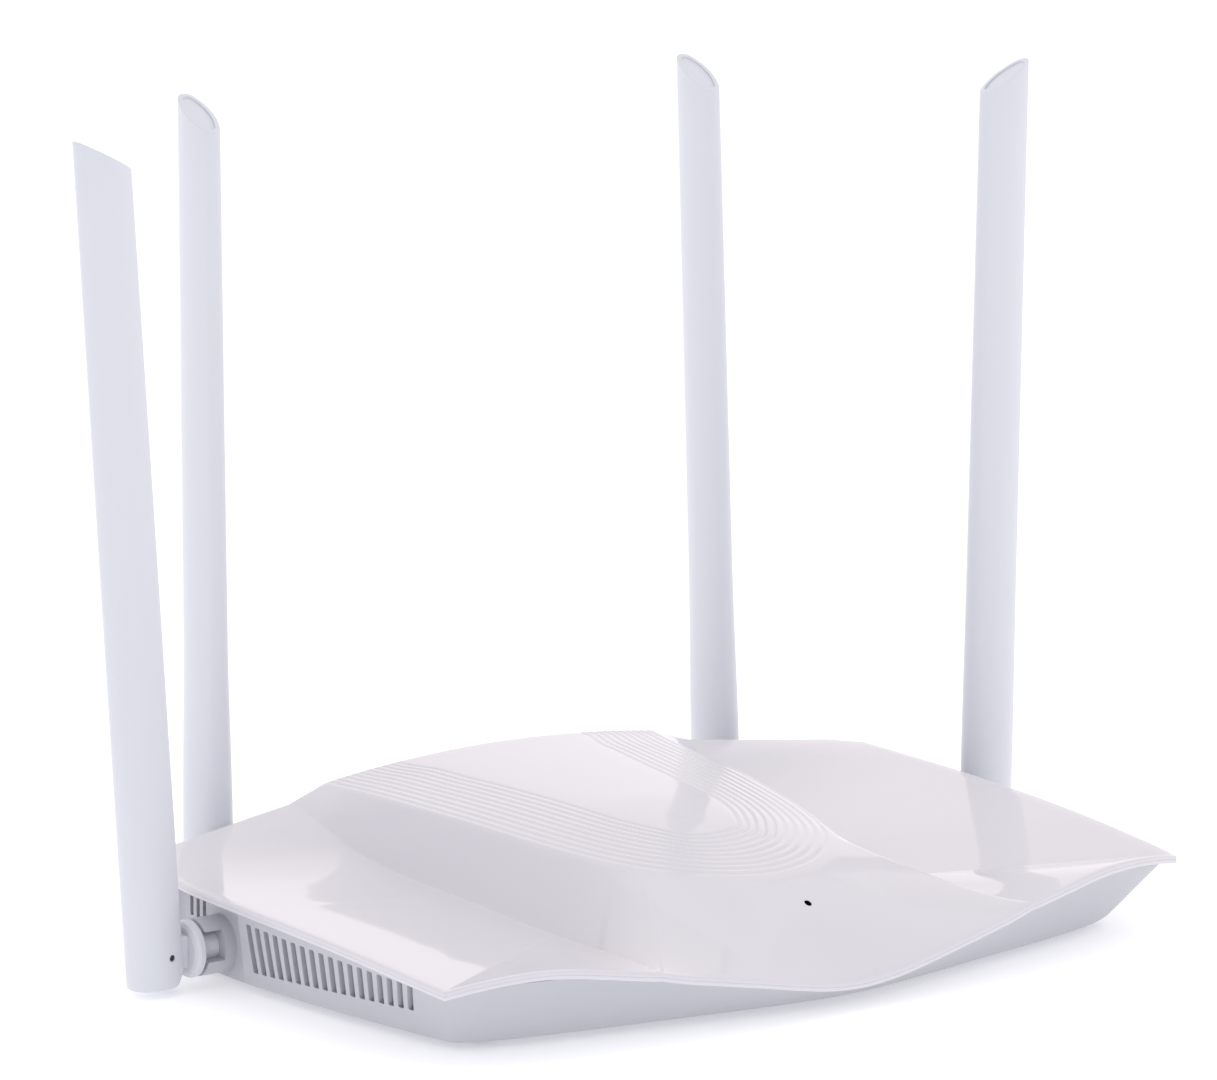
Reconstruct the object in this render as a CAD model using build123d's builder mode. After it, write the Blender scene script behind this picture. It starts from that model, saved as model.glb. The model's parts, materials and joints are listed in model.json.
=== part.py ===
from build123d import *
import math
import os

os.makedirs("parts", exist_ok=True)

# ---------------------------------------------------------------------------
# Desktop Wi-Fi router / range extender with four folding antennas.
# Frame: +X to the object's right (seen from the front), +Y to the rear,
# +Z up.  The origin is on the desk plane under the middle of the housing.
# Millimetres.
# ---------------------------------------------------------------------------

# ---- driving dimensions ---------------------------------------------------
FOOT_H = 2.0            # rubber feet stand this far below the housing floor
Z0 = FOOT_H             # underside of the housing floor
WALL = 2.0              # lower housing wall
FLOOR = 2.0             # lower housing floor
SKIN = 2.2              # top cover thickness, measured along Z
LIP_GAP = 0.15          # gap between the cover's underside and the housing wall

PCB_X, PCB_Y0, PCB_Y1 = 66.0, -50.0, 65.5     # half width, front and rear edge
PCB_Z = Z0 + 4.5
PCB_T = 1.6
PCB_TOP = PCB_Z + PCB_T

HINGE_Z = Z0 + 8.3      # height of the four swivel axes
SIDE_Y = 28.6           # side antennas: position along Y
REAR_X = 83.6           # rear antennas: position along X
SIDE_FLANGE = 123.4     # |x| of the inner face of the side flanges
REAR_FLANGE = 72.5      # y of the inner face of the rear flanges
STEM_R = 4.0            # swivel stem radius
STEM_FIT = 0.06         # radial running clearance of the stem
STEM_LEN = 10.5         # from the flange to the inside of the socket wall
COLLAR_R = 7.4          # socket collar on the wall, behind the flange
COLLAR_GAP = 0.4
FLANGE_R = 7.4
FLANGE_T = 3.2
CATCH_R, CATCH_T, CATCH_GAP = 5.3, 2.0, 0.3   # ring that keeps the stem in its socket
STEM_BORE = 1.5
PIN_OFF = 6.6           # pin axis ahead of the flange's outer face
PIN_R = 0.9
PIN_FIT = 0.05
TONGUE_H = 8.2
TONGUE_T = 5.6
ANT_OFF = 1.8           # antenna centre line beyond the pin axis
ANT_LOW = 8.0           # antenna reaches this far below the pin axis
ANT_TOP = 207.5         # high point of the tip above the pin axis
TIP_DROP = 8.8          # height difference across the slanted tip
# height, width, thickness and end radius of the antenna's sections
ANT_SECTIONS = [(-8.0, 15.0, 12.8, 5.8), (22.0, 15.3, 12.0, 5.2), (65.0, 15.8, 9.2, 3.4), (215.0, 15.2, 8.2, 2.9)]
ANT_WALL = 1.3
SLOT_FIT = 0.35         # clearance each side of the tongue in the fork

LEAN_LEFT = 3.2         # outward lean of the left antenna, degrees
LEAN_RIGHT = 1.0        # outward lean of the right antenna
SWING_REAR_RIGHT = -2.0 # rear right antenna swung about +Y, degrees

# ---- the crowned top surface ---------------------------------------------
# Half profiles (x >= 0) of the four curves that shape it, heights above the
# housing floor.  PLATEAU is the edge of the raised middle, CREASE the foot of
# the band beside it, SIDE and FRONT the rim.
PLATEAU = [(74.5, 53.6, 32.7), (71, 53.2, 32.6), (54.9, 50.2, 32.4), (37.5, 48.1, 32.1),
           (20.7, 45.8, 31.6), (10.0, 44.0, 31.0)]
PLATEAU_FRONT = [(44.0, 10.0, 31.0), (43.1, 5.0, 30.7), (40.0, -10.0, 29.8), (36.0, -23.5, 28.9),
                 (30.5, -35.2, 28.1), (23.0, -44.2, 27.4), (14.6, -50.3, 26.8), (7.0, -53.0, 26.4),
                 (0.0, -53.7, 26.2)]
CREASE = [(74.5, 65.9, 29.0), (65.0, 63.6, 26.4), (58.0, 62.1, 23.3), (51.0, 60.8, 20.4),
          (42.0, 59.2, 18.1), (33.0, 57.5, 16.5), (22.0, 55.8, 15.3), (10.0, 54.2, 14.4)]
CREASE_FRONT = [(54.2, 10.0, 14.4), (53.0, -1.0, 13.5), (51.7, -13.0, 12.4), (50.3, -24.0, 11.7),
                (49.6, -36.0, 11.5), (49.9, -44.0, 11.8), (51.0, -52.0, 12.6), (52.9, -61.0, 13.7),
                (56.0, -73.0, 15.1), (59.0, -82.6, 15.6),
                (51.6, -83.9, 13.9), (40.1, -85.4, 11.6), (30.2, -86.4, 9.7), (18.3, -87.0, 7.2),
                (9.0, -87.1, 5.6), (0.0, -87.1, 5.0)]
SIDE = [(74.5, 116.0, 23.6), (61.0, 117.6, 23.3), (38.0, 120.0, 22.4), (25.0, 120.3, 22.2),
        (12.7, 120.2, 22.0), (10.0, 120.1, 21.9)]
SIDE_FRONT = [(120.1, 10.0, 21.9), (119.9, 1.0, 21.7), (119.6, -10.0, 21.4), (119.2, -21.5, 21.0),
              (118.7, -32.5, 20.5), (118.2, -43.0, 19.9), (117.6, -53.0, 19.2), (116.9, -63.5, 18.5),
              (116.0, -72.5, 17.7),
              (110.0, -74.4, 18.9), (96.2, -77.6, 20.2), (85.8, -79.4, 19.9), (74.1, -81.1, 18.2),
              (62.7, -82.3, 16.2), (59.0, -82.6, 15.6),
              (51.6, -83.9, 13.9), (40.1, -85.4, 11.6), (30.2, -86.4, 9.7), (18.3, -87.0, 7.2),
              (9.0, -87.1, 5.6), (0.0, -87.1, 5.0)]
POLE_Y = 10.0           # rays for the front half start at (0, POLE_Y)


def along_y(table, y):
    """x and height of a side curve at y."""
    rows = sorted(table)
    if y <= rows[0][0]:
        return rows[0][1], rows[0][2]
    for (y0, x0, z0), (y1, x1, z1) in zip(rows[:-1], rows[1:]):
        if y <= y1:
            t = (y - y0) / (y1 - y0)
            return x0 + t * (x1 - x0), z0 + t * (z1 - z0)
    return rows[-1][1], rows[-1][2]


def along_ray(table, ang):
    """Radius and height of a front curve on the ray at this angle from -Y."""
    rows = []
    for x, y, z in table:
        rows.append((math.atan2(x, POLE_Y - y), math.hypot(x, POLE_Y - y), z))
    rows.sort()
    if ang <= rows[0][0]:
        return rows[0][1], rows[0][2]
    for (a0, r0, z0), (a1, r1, z1) in zip(rows[:-1], rows[1:]):
        if ang <= a1:
            t = (ang - a0) / max(a1 - a0, 1e-9)
            return r0 + t * (r1 - r0), z0 + t * (z1 - z0)
    return rows[-1][1], rows[-1][2]


def hollow(degrees):
    """How strongly the band sags on a ray: most where the crease meets the front rim."""
    off = degrees - 32.5
    return 1.0 + 0.5 * math.exp(-(off / (4.6 if off < 0 else 3.8)) ** 2)


def crown(x, y):
    """Height of the top surface above the housing floor."""
    x = abs(x)
    if y >= POLE_Y:
        s = x
        e, ze = along_y(PLATEAU, y)
        c, zc = along_y(CREASE, y)
        r, zr = along_y(SIDE, y)
        top = 34.9 + 1.5 * min(1.0, (y - POLE_Y) / 62.0)
        power = 1.9
        front = 0.0
    else:
        ang = math.atan2(x, POLE_Y - y)
        s = math.hypot(x, POLE_Y - y)
        e, ze = along_ray(PLATEAU_FRONT, ang)
        c, zc = along_ray(CREASE_FRONT, ang)
        r, zr = along_ray(SIDE_FRONT, ang)
        top = 34.9
        front = max(0.0, math.cos(ang)) ** 2
        power = 1.9 - 0.3 * front
    if s <= e:
        return top + (ze - top) * (s / e) ** power
    if s <= c:
        v = (s - e) / max(c - e, 1e-6)
        lift = 1.0 - v
        shape = (1 - front) * lift ** 1.12 + front * (1 - v ** 1.25)
        return zc + (ze - zc) * shape ** hollow(math.degrees(math.atan2(x, POLE_Y - y)))
    v = (s - c) / max(r - c, 1e-6) if r > c + 0.5 else 1.0
    v = min(v, 1.6)
    return zc + (zr - zc) * v


def crown_solid(drop):
    """Everything under the top surface lowered by drop, lofted through cross sections."""
    with BuildPart() as under:
        for y in [-96.0, -91.5, -87.0, -83.0, -78.0] + [-72.0 + 6.0 * j for j in range(27)]:
            row = [(-130.0 + 6.5 * i, Z0 + crown(-130.0 + 6.5 * i, y) - drop) for i in range(41)]
            with BuildSketch(Plane.XZ.offset(-y)):
                with BuildLine():
                    Spline(*row)
                    Polyline(row[-1], (130.0, -30.0), (-130.0, -30.0), row[0])
                make_face()
        loft(ruled=True)
    return under.part


def mirrored(points):
    """Closed outline from its right-hand half, listed front to rear."""
    return points + [(-x, y) for x, y in reversed(points) if abs(x) > 1e-6]


# plan outline of the cover's rim: front edge, side edge, then the cut rear corner
RIM_FRONT = [(0.0, -87.1), (18.3, -87.0), (30.2, -86.4), (40.1, -85.4), (51.6, -83.9), (62.7, -82.3),
             (74.1, -81.1), (85.8, -79.4), (96.2, -77.6), (110.0, -74.4), (116.0, -72.5)]
RIM_SIDE = [(116.0, -72.5), (117.6, -53.0), (118.7, -32.5), (119.6, -10.0), (120.2, 12.7), (120.0, 38.0),
            (117.6, 61.0)]
RIM_REAR = [(117.6, 61.0), (108.6, 67.8), (92.5, 70.6), (76.7, 72.7), (61.3, 74.0), (40.0, 74.5)]
# lower housing: outline of its floor, and of its leaning walls at LEAN_Z above the floor
LEAN_Z = 17.0
FLOOR_FRONT = [(0.0, -80.0), (30.0, -76.4), (60.0, -71.0), (85.0, -66.0), (98.0, -62.0), (104.4, -58.6)]
LEAN_FRONT = [(0.0, -98.0), (30.0, -94.4), (60.0, -84.7), (85.0, -78.0), (104.0, -74.0), (114.2, -71.0)]
FLOOR_SIDE = [(104.4, -58.6), (108.6, -38.0), (112.3, -15.0), (115.4, 12.0), (116.4, 40.0), (115.0, 60.0)]
LEAN_SIDE = [(114.2, -71.0), (116.0, -45.0), (117.3, -18.0), (118.1, 12.0), (118.0, 40.0), (116.0, 60.4)]
FLOOR_REAR = [(115.0, 60.0), (108.0, 66.3), (76.0, 69.0), (40.0, 69.6)]
LEAN_REAR = [(116.0, 60.4), (108.2, 66.9), (76.0, 70.5), (40.0, 71.2)]
WALL_TOP = 40.0


def leaned(floor, lean, z):
    """Outline points at height z on straight walls through floor (0) and lean (LEAN_Z)."""
    t = z / LEAN_Z
    return [(p[0] + (q[0] - p[0]) * t, p[1] + (q[1] - p[1]) * t) for p, q in zip(floor, lean)]


def ring(front, side, rear):
    """Closed outline lines from the right-hand halves of its three stretches."""
    def flip(points):
        return [(-x, y) for x, y in points]
    Spline(*(flip(front)[::-1] + front[1:]))
    Spline(*side)
    Polyline(*rear)
    Line(rear[-1], flip(rear)[-1])
    Polyline(*flip(rear)[::-1])
    Spline(*flip(side)[::-1])


def pulled_in(front, side, rear, d):
    """The three stretches of a right-hand half outline, moved inwards by d."""
    chain = [(-front[1][0], front[1][1])] + front + side[1:] + rear[1:] + [(-rear[-1][0], rear[-1][1])]
    moved = []
    for p, q, r in zip(chain, chain[1:], chain[2:]):
        a = (q[0] - p[0], q[1] - p[1])
        b = (r[0] - q[0], r[1] - q[1])
        na = (-a[1] / math.hypot(*a), a[0] / math.hypot(*a))
        nb = (-b[1] / math.hypot(*b), b[0] / math.hypot(*b))
        k = d / (1 + na[0] * nb[0] + na[1] * nb[1])
        moved.append((q[0] + k * (na[0] + nb[0]), q[1] + k * (na[1] + nb[1])))
    i, j = len(front), len(front) + len(side) - 1
    moved[0] = (0.0, moved[0][1])
    return moved[:i], moved[i - 1:j], moved[j - 1:]


def shell_block(inset, z_low):
    """Solid between the leaning walls, pulled in by inset."""
    with BuildPart() as block:
        for z in (z_low, WALL_TOP):
            stretches = (leaned(FLOOR_FRONT, LEAN_FRONT, z), leaned(FLOOR_SIDE, LEAN_SIDE, z),
                         leaned(FLOOR_REAR, LEAN_REAR, z))
            with BuildSketch(Plane.XY.offset(Z0 + z)):
                with BuildLine():
                    ring(*pulled_in(*stretches, inset))
                make_face()
        loft(ruled=True)
    return block.part


# ---- bought-in parts and inner layout (heights above the floor's underside) --
JACK_W, JACK_D, JACK_H = 16.0, 21.0, 13.2
JACK_Y = 69.7                          # front face of the jacks
WAN_X, LAN_X = 38.0, (17.5, -1.0, -19.5)
DC_X = 57.0
DC_W, DC_D, DC_H, DC_BORE = 9.4, 14.2, 11.0, 3.15
BUTTON_X, BUTTON_Z = -42.0, Z0 + 10.5
BUTTON_R, BUTTON_FIT = 3.0, 0.25
BUTTON_TRAVEL = 0.8
LED_Y = -65.0                          # status light, on the middle line
COVER_SCREWS = [(93.0, -55.0), (-93.0, -55.0), (101.0, 54.0), (-101.0, 54.0)]
BOARD_SCREWS = [(60.0, -44.0), (-60.0, -44.0), (60.0, 16.0), (-60.0, 16.0)]
FEET = [(82.0, -44.0), (-82.0, -44.0), (91.0, 42.0), (-91.0, 42.0)]
FOOT_R = 6.0
POST_TOP = Z0 + 8.0
COAX_R = 0.7
CONNECTORS = {"left": (-62.0, 27.0), "rear_left": (-60.0, 50.0),
              "rear_right": (63.0, 48.0), "right": (62.0, 27.0)}


def keep(piece, name):
    piece.label = name
    export_step(piece, "parts/" + name + ".step")


# ---- top cover -------------------------------------------------------------
under_skin = crown_solid(SKIN)
with BuildPart() as top_cover:
    with BuildSketch(Plane.XY):
        with BuildLine():
            ring(RIM_FRONT, RIM_SIDE, RIM_REAR)
        make_face()
    extrude(amount=60)
    add(crown_solid(0.0), mode=Mode.INTERSECT)
    add(under_skin, mode=Mode.SUBTRACT)
with BuildPart() as cover_bosses:
    with BuildSketch(Plane.XY.offset(POST_TOP + 0.15)):
        with Locations(*COVER_SCREWS):
            Circle(3.2)
    extrude(amount=40)
    add(crown_solid(SKIN * 0.5), mode=Mode.INTERSECT)
with BuildPart() as top_cover_full:
    add(top_cover.part)
    add(cover_bosses.part)
    with BuildSketch(Plane.XY.offset(POST_TOP - 1.0)):
        with Locations(*COVER_SCREWS):
            Circle(1.4)
    extrude(amount=6.5, mode=Mode.SUBTRACT)
    with BuildSketch(Plane.XY):
        with Locations((0, LED_Y)):
            Circle(0.95)
    extrude(amount=60, mode=Mode.SUBTRACT)
keep(top_cover_full.part, "top_cover")

# ---- lower housing -----------------------------------------------------------
SCOOP_Y0, SCOOP_Y1 = 14.8, 49.5         # recess round each side hinge
SIDE_WALL_X = SIDE_FLANGE - STEM_LEN + 2.0


def scoop(grow):
    """Recess in both side walls round the hinge sockets."""
    with BuildPart() as cut:
        with BuildSketch(Plane.XY.offset(-5)):
            for s in (1, -1):
                with Locations((s * (SIDE_WALL_X - grow + 10.0), (SCOOP_Y0 + SCOOP_Y1) / 2)):
                    RectangleRounded(20.0, SCOOP_Y1 - SCOOP_Y0 + 2 * grow, 4.5 + grow)
        extrude(amount=60)
    return cut.part


outer_block = shell_block(0.0, 0.0)
with BuildPart() as housing_outer:
    add(outer_block)
    uprights = housing_outer.edges().filter_by(
        lambda e: abs(e.center().X) > 100 and abs(e.tangent_at(0.5).Z) > 0.5)
    fillet([e for e in uprights if e.center().Y < 0], radius=3.0)
    uprights = housing_outer.edges().filter_by(
        lambda e: abs(e.center().X) > 100 and e.center().Y > 50 and abs(e.tangent_at(0.5).Z) > 0.5)
    fillet(uprights, radius=2.0)
    fillet(housing_outer.faces().sort_by(Axis.Z)[0].edges(), radius=1.6)
    add(scoop(0.0), mode=Mode.SUBTRACT)
with BuildPart() as housing_inner:
    add(shell_block(WALL, FLOOR))
    add(scoop(WALL), mode=Mode.SUBTRACT)
VENT_N, VENT_PITCH, VENT_W = 18, 3.73, 2.1
VENT_MID = 11.0


def vent_shift(y):
    """Forward slant of a vent at y, per millimetre of height: the walls' own slant."""
    return -12.4 / LEAN_Z * max(0.0, (12.0 - y) / 70.6) ** 1.1


with BuildPart() as vents:
    for side in (1, -1):
        with BuildSketch(Plane(origin=(side * 108.0, 0, 0), x_dir=(0, side, 0), z_dir=(side, 0, 0))):
            for i in range(VENT_N):
                y = 10.4 - VENT_PITCH * i
                t = i / (VENT_N - 1)
                top = 17.3 - 1.7 * t
                low = 4.3 + 3.4 * t
                k = vent_shift(y)
                ya, yb = y + k * (low - VENT_MID), y + k * (top - VENT_MID)
                with BuildLine():
                    Polyline((side * (ya - VENT_W / 2), Z0 + low), (side * (ya + VENT_W / 2), Z0 + low),
                             (side * (yb + VENT_W / 2), Z0 + top), (side * (yb - VENT_W / 2), Z0 + top), close=True)
                make_face()
            fillet(vertices(), radius=0.4)
        extrude(amount=20.0)
    # short slots in the recess walls, behind the hinges
    with BuildSketch(Plane.YZ.offset(-SIDE_WALL_X - 2.0)):
        for y in (36.4, 39.4, 42.4):
            with Locations((y, Z0 + 15.4)):
                Rectangle(1.5, 5.6)
    extrude(amount=2 * SIDE_WALL_X + 4.0)
with BuildPart() as bottom_housing:
    add(housing_outer.part)
    add(housing_inner.part, mode=Mode.SUBTRACT)
    add(vents.part, mode=Mode.SUBTRACT)
    # socket collars: two in the side recesses, two on the rear wall
    for s in (1, -1):
        with BuildSketch(Plane(origin=(s * (SIDE_WALL_X - 0.5), SIDE_Y, HINGE_Z), x_dir=(0, 1, 0), z_dir=(s, 0, 0))):
            Circle(COLLAR_R)
        extrude(amount=STEM_LEN - COLLAR_GAP - 1.5)
        with BuildSketch(Plane(origin=(s * REAR_X, REAR_FLANGE - COLLAR_GAP, HINGE_Z), x_dir=(1, 0, 0), z_dir=(0, -1, 0))):
            Circle(COLLAR_R)
        extrude(amount=STEM_LEN - COLLAR_GAP)
    # the stems show through a notch in the front half of every side collar
    for s in (1, -1):
        with BuildSketch(Plane(origin=(s * (SIDE_WALL_X + 3.2), SIDE_Y, HINGE_Z), x_dir=(0, 1, 0), z_dir=(s, 0, 0))):
            with Locations((-5.0, -1.2)):
                Rectangle(10.0, 7.6)
        extrude(amount=8.0, mode=Mode.SUBTRACT)
    # stem bores
    for s in (1, -1):
        with BuildSketch(Plane(origin=(s * 105.0, SIDE_Y, HINGE_Z), x_dir=(0, 1, 0), z_dir=(s, 0, 0))):
            Circle(STEM_R + STEM_FIT)
        extrude(amount=30, mode=Mode.SUBTRACT)
        with BuildSketch(Plane(origin=(s * REAR_X, 60.0, HINGE_Z), x_dir=(1, 0, 0), z_dir=(0, 1, 0))):
            Circle(STEM_R + STEM_FIT)
        extrude(amount=30, mode=Mode.SUBTRACT)
    # flats inside the rear wall for the catch rings
    with BuildSketch(Plane(origin=(0, REAR_FLANGE - STEM_LEN, HINGE_Z), x_dir=(1, 0, 0), z_dir=(0, -1, 0))):
        with Locations((REAR_X, 0), (-REAR_X, 0)):
            Circle(CATCH_R + 0.25)
    extrude(amount=5, mode=Mode.SUBTRACT)
    # rear wall openings
    with BuildSketch(Plane.XZ.offset(-76)):
        with Locations(*[(x, PCB_TOP + JACK_H / 2) for x in (WAN_X,) + LAN_X]):
            RectangleRounded(JACK_W + 0.5, JACK_H + 0.5, 0.5)
        with Locations((DC_X, PCB_TOP + DC_H / 2)):
            RectangleRounded(DC_W + 0.5, DC_H + 0.5, 1.0)
        with Locations((BUTTON_X, BUTTON_Z)):
            Circle(BUTTON_R + BUTTON_FIT)
    extrude(amount=13, mode=Mode.SUBTRACT)
    # screw posts
    with BuildSketch(Plane.XY.offset(Z0 + FLOOR - 0.5)):
        with Locations(*COVER_SCREWS):
            Circle(4.0)
    extrude(amount=POST_TOP - Z0 - FLOOR + 0.5)
    with BuildSketch(Plane.XY.offset(Z0 + FLOOR - 0.5)):
        with Locations(*BOARD_SCREWS):
            Circle(3.0)
    extrude(amount=PCB_Z - Z0 - FLOOR + 0.5)
    with BuildSketch(Plane.XY.offset(Z0 - 1)):
        with Locations(*COVER_SCREWS):
            Circle(1.5)
    extrude(amount=12, mode=Mode.SUBTRACT)
    with BuildSketch(Plane.XY.offset(Z0 - 1)):
        with Locations(*COVER_SCREWS):
            Circle(3.0)
    extrude(amount=4.0, mode=Mode.SUBTRACT)
    with BuildSketch(Plane.XY.offset(Z0 + 1.4)):
        with Locations(*BOARD_SCREWS):
            Circle(1.15)
    extrude(amount=8, mode=Mode.SUBTRACT)
    # foot pockets, label recess and the grille in the floor
    with BuildSketch(Plane.XY.offset(Z0 - 1)):
        with Locations(*FEET):
            Circle(FOOT_R)
    extrude(amount=1.6, mode=Mode.SUBTRACT)
    with BuildSketch(Plane.XY.offset(Z0 - 1)):
        with Locations((0, -28)):
            RectangleRounded(76, 38, 2)
    extrude(amount=1.3, mode=Mode.SUBTRACT)
    with BuildSketch(Plane.XY.offset(Z0 - 1)):
        with Locations((0, 30)):
            with GridLocations(44, 6, 2, 7):
                SlotOverall(38, 2.4)
    extrude(amount=4, mode=Mode.SUBTRACT)
    add(crown_solid(SKIN + LIP_GAP), mode=Mode.INTERSECT)
keep(bottom_housing.part, "bottom_housing")

# ---- circuit board and what it carries ---------------------------------------
with BuildPart() as main_pcb:
    with BuildSketch(Plane.XY.offset(PCB_Z)):
        with Locations((0, (PCB_Y0 + PCB_Y1) / 2)):
            RectangleRounded(2 * PCB_X, PCB_Y1 - PCB_Y0, 2.0)
        with Locations((0, -58.0)):
            RectangleRounded(24.0, 24.0, 2.0)
        with Locations(*BOARD_SCREWS):
            Circle(1.3, mode=Mode.SUBTRACT)
    extrude(amount=PCB_T)
keep(main_pcb.part, "main_pcb")


def network_jack(x):
    """Shielded 8-way socket, its mouth towards +Y, latch slot on top."""
    low = PCB_TOP
    with BuildPart() as jack:
        with BuildSketch(Plane(origin=(x, JACK_Y, low), x_dir=(1, 0, 0), z_dir=(0, -1, 0))):
            with Locations((0, JACK_H / 2)):
                RectangleRounded(JACK_W, JACK_H, 0.4)
        extrude(amount=JACK_D)
        with BuildSketch(Plane(origin=(x, JACK_Y, low), x_dir=(1, 0, 0), z_dir=(0, -1, 0))):
            with Locations((0, 6.1)):
                Rectangle(11.9, 8.2)
            with Locations((0, 10.6)):
                Rectangle(6.2, 1.6)
            with Locations((0, 11.5)):
                Rectangle(3.4, 1.2)
        extrude(amount=14.0, mode=Mode.SUBTRACT)
        with BuildSketch(Plane(origin=(x, JACK_Y - 2.0, low + 2.3), x_dir=(1, 0, 0), z_dir=(0, -1, 0))):
            with GridLocations(1.02, 1, 8, 1):
                Rectangle(0.4, 0.9)
        extrude(amount=12.5)
    return jack.part


for name, x in zip(("wan_jack", "lan_jack_1", "lan_jack_2", "lan_jack_3"), (WAN_X,) + LAN_X):
    keep(network_jack(x), name)

with BuildPart() as dc_power_jack:
    with BuildSketch(Plane(origin=(DC_X, JACK_Y, PCB_TOP + DC_H / 2), x_dir=(1, 0, 0), z_dir=(0, -1, 0))):
        RectangleRounded(DC_W, DC_H, 0.8)
    extrude(amount=DC_D)
    with BuildSketch(Plane(origin=(DC_X, JACK_Y, PCB_TOP + DC_H / 2), x_dir=(1, 0, 0), z_dir=(0, -1, 0))):
        Circle(DC_BORE)
    extrude(amount=10.0, mode=Mode.SUBTRACT)
    with BuildSketch(Plane(origin=(DC_X, JACK_Y - 4.5, PCB_TOP + DC_H / 2), x_dir=(1, 0, 0), z_dir=(0, -1, 0))):
        Circle(1.0)
    extrude(amount=6.0)
    fillet(dc_power_jack.edges().filter_by(GeomType.CIRCLE).filter_by(
        lambda e: abs(e.radius - 1.0) < 0.01 and e.center().Y > JACK_Y - 5.0), radius=0.5)
keep(dc_power_jack.part, "dc_power_jack")

SWITCH_Y = 61.5
with BuildPart() as wps_switch:
    with BuildSketch(Plane.XY.offset(PCB_TOP)):
        with Locations((BUTTON_X, SWITCH_Y - 3.0)):
            RectangleRounded(7.4, 6.0, 0.4)
    extrude(amount=8.2)
    with BuildSketch(Plane(origin=(BUTTON_X, SWITCH_Y + 1, BUTTON_Z), x_dir=(1, 0, 0), z_dir=(0, -1, 0))):
        Circle(1.67)
    extrude(amount=4.0, mode=Mode.SUBTRACT)
keep(wps_switch.part, "wps_switch")

with BuildPart() as switch_actuator:
    with BuildSketch(Plane(origin=(BUTTON_X, 66.4, BUTTON_Z), x_dir=(1, 0, 0), z_dir=(0, -1, 0))):
        Circle(1.6)
    extrude(amount=66.4 - (SWITCH_Y - 1.2))
keep(switch_actuator.part, "switch_actuator")

with BuildPart() as wps_button:
    with BuildSketch(Plane(origin=(BUTTON_X, 66.4, BUTTON_Z), x_dir=(1, 0, 0), z_dir=(0, 1, 0))):
        Circle(4.2)
    extrude(amount=1.4)
    with BuildSketch(Plane(origin=(BUTTON_X, 66.4, BUTTON_Z), x_dir=(1, 0, 0), z_dir=(0, 1, 0))):
        Circle(BUTTON_R)
    extrude(amount=5.0)
    fillet(wps_button.faces().sort_by(Axis.Y)[-1].edges(), radius=0.5)
keep(wps_button.part, "wps_button")

with BuildPart() as cpu_chip:
    with BuildSketch(Plane.XY.offset(PCB_TOP)):
        with Locations((4, 6)):
            Rectangle(17, 17)
    extrude(amount=1.4)
keep(cpu_chip.part, "cpu_chip")

with BuildPart() as thermal_pad:
    with BuildSketch(Plane.XY.offset(PCB_TOP + 1.4)):
        with Locations((4, 6)):
            RectangleRounded(17, 17, 1)
    extrude(amount=1.0)
keep(thermal_pad.part, "thermal_pad")

with BuildPart() as heat_sink:
    with BuildSketch(Plane.XY.offset(PCB_TOP + 2.4)):
        with Locations((4, 6)):
            Rectangle(34, 34)
    extrude(amount=2.0)
    with BuildSketch(Plane.XY.offset(PCB_TOP + 4.4)):
        with Locations((4, 6)):
            with GridLocations(4.7, 1, 8, 1):
                Rectangle(1.1, 34)
    extrude(amount=7.0)
keep(heat_sink.part, "heat_sink")

with BuildPart() as memory_chips:
    with BuildSketch(Plane.XY.offset(PCB_TOP)):
        with Locations((34, 14), (4, -22)):
            Rectangle(13, 9)
        with Locations((-10, -32)):
            Rectangle(6, 5)
    extrude(amount=1.1)
keep(memory_chips.part, "memory_chips")


def shield_can(cx, cy, w, d, h):
    """Thin metal can with open underside, soldered over a radio section."""
    with BuildPart() as can:
        with BuildSketch(Plane.XY.offset(PCB_TOP)):
            with Locations((cx, cy)):
                RectangleRounded(w, d, 0.8)
        extrude(amount=h)
        with BuildSketch(Plane.XY.offset(PCB_TOP - 1)):
            with Locations((cx, cy)):
                RectangleRounded(w - 0.8, d - 0.8, 0.5)
        extrude(amount=h + 0.6, mode=Mode.SUBTRACT)
    return can.part


keep(shield_can(38.0, -14.0, 32.0, 26.0, 3.4), "rf_shield_2g")
keep(shield_can(-38.0, 6.0, 32.0, 30.0, 3.4), "rf_shield_5g")

with BuildPart() as lan_transformers:
    with BuildSketch(Plane.XY.offset(PCB_TOP)):
        with Locations((WAN_X, 39), *[(x, 39) for x in LAN_X]):
            RectangleRounded(13.0, 11.0, 0.5)
    extrude(amount=5.4)
keep(lan_transformers.part, "lan_transformers")

with BuildPart() as filter_capacitors:
    with BuildSketch(Plane.XY.offset(PCB_TOP)):
        with Locations((52.0, 46.0), (52.0, 37.0), (51.0, 28.0)):
            Circle(3.1)
    extrude(amount=8.0)
    fillet(filter_capacitors.faces().filter_by(Axis.Z).sort_by(Axis.Z)[-3:].edges(), radius=0.4)
keep(filter_capacitors.part, "filter_capacitors")

with BuildPart() as coax_connectors:
    with BuildSketch(Plane.XY.offset(PCB_TOP)):
        with Locations(*CONNECTORS.values()):
            RectangleRounded(3.2, 3.2, 0.5)
    extrude(amount=2.0)
keep(coax_connectors.part, "coax_connectors")

with BuildPart() as status_led:
    with BuildSketch(Plane.XY.offset(PCB_TOP)):
        with Locations((0, LED_Y)):
            Rectangle(1.6, 1.6)
    extrude(amount=0.9)
keep(status_led.part, "status_led")

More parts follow.
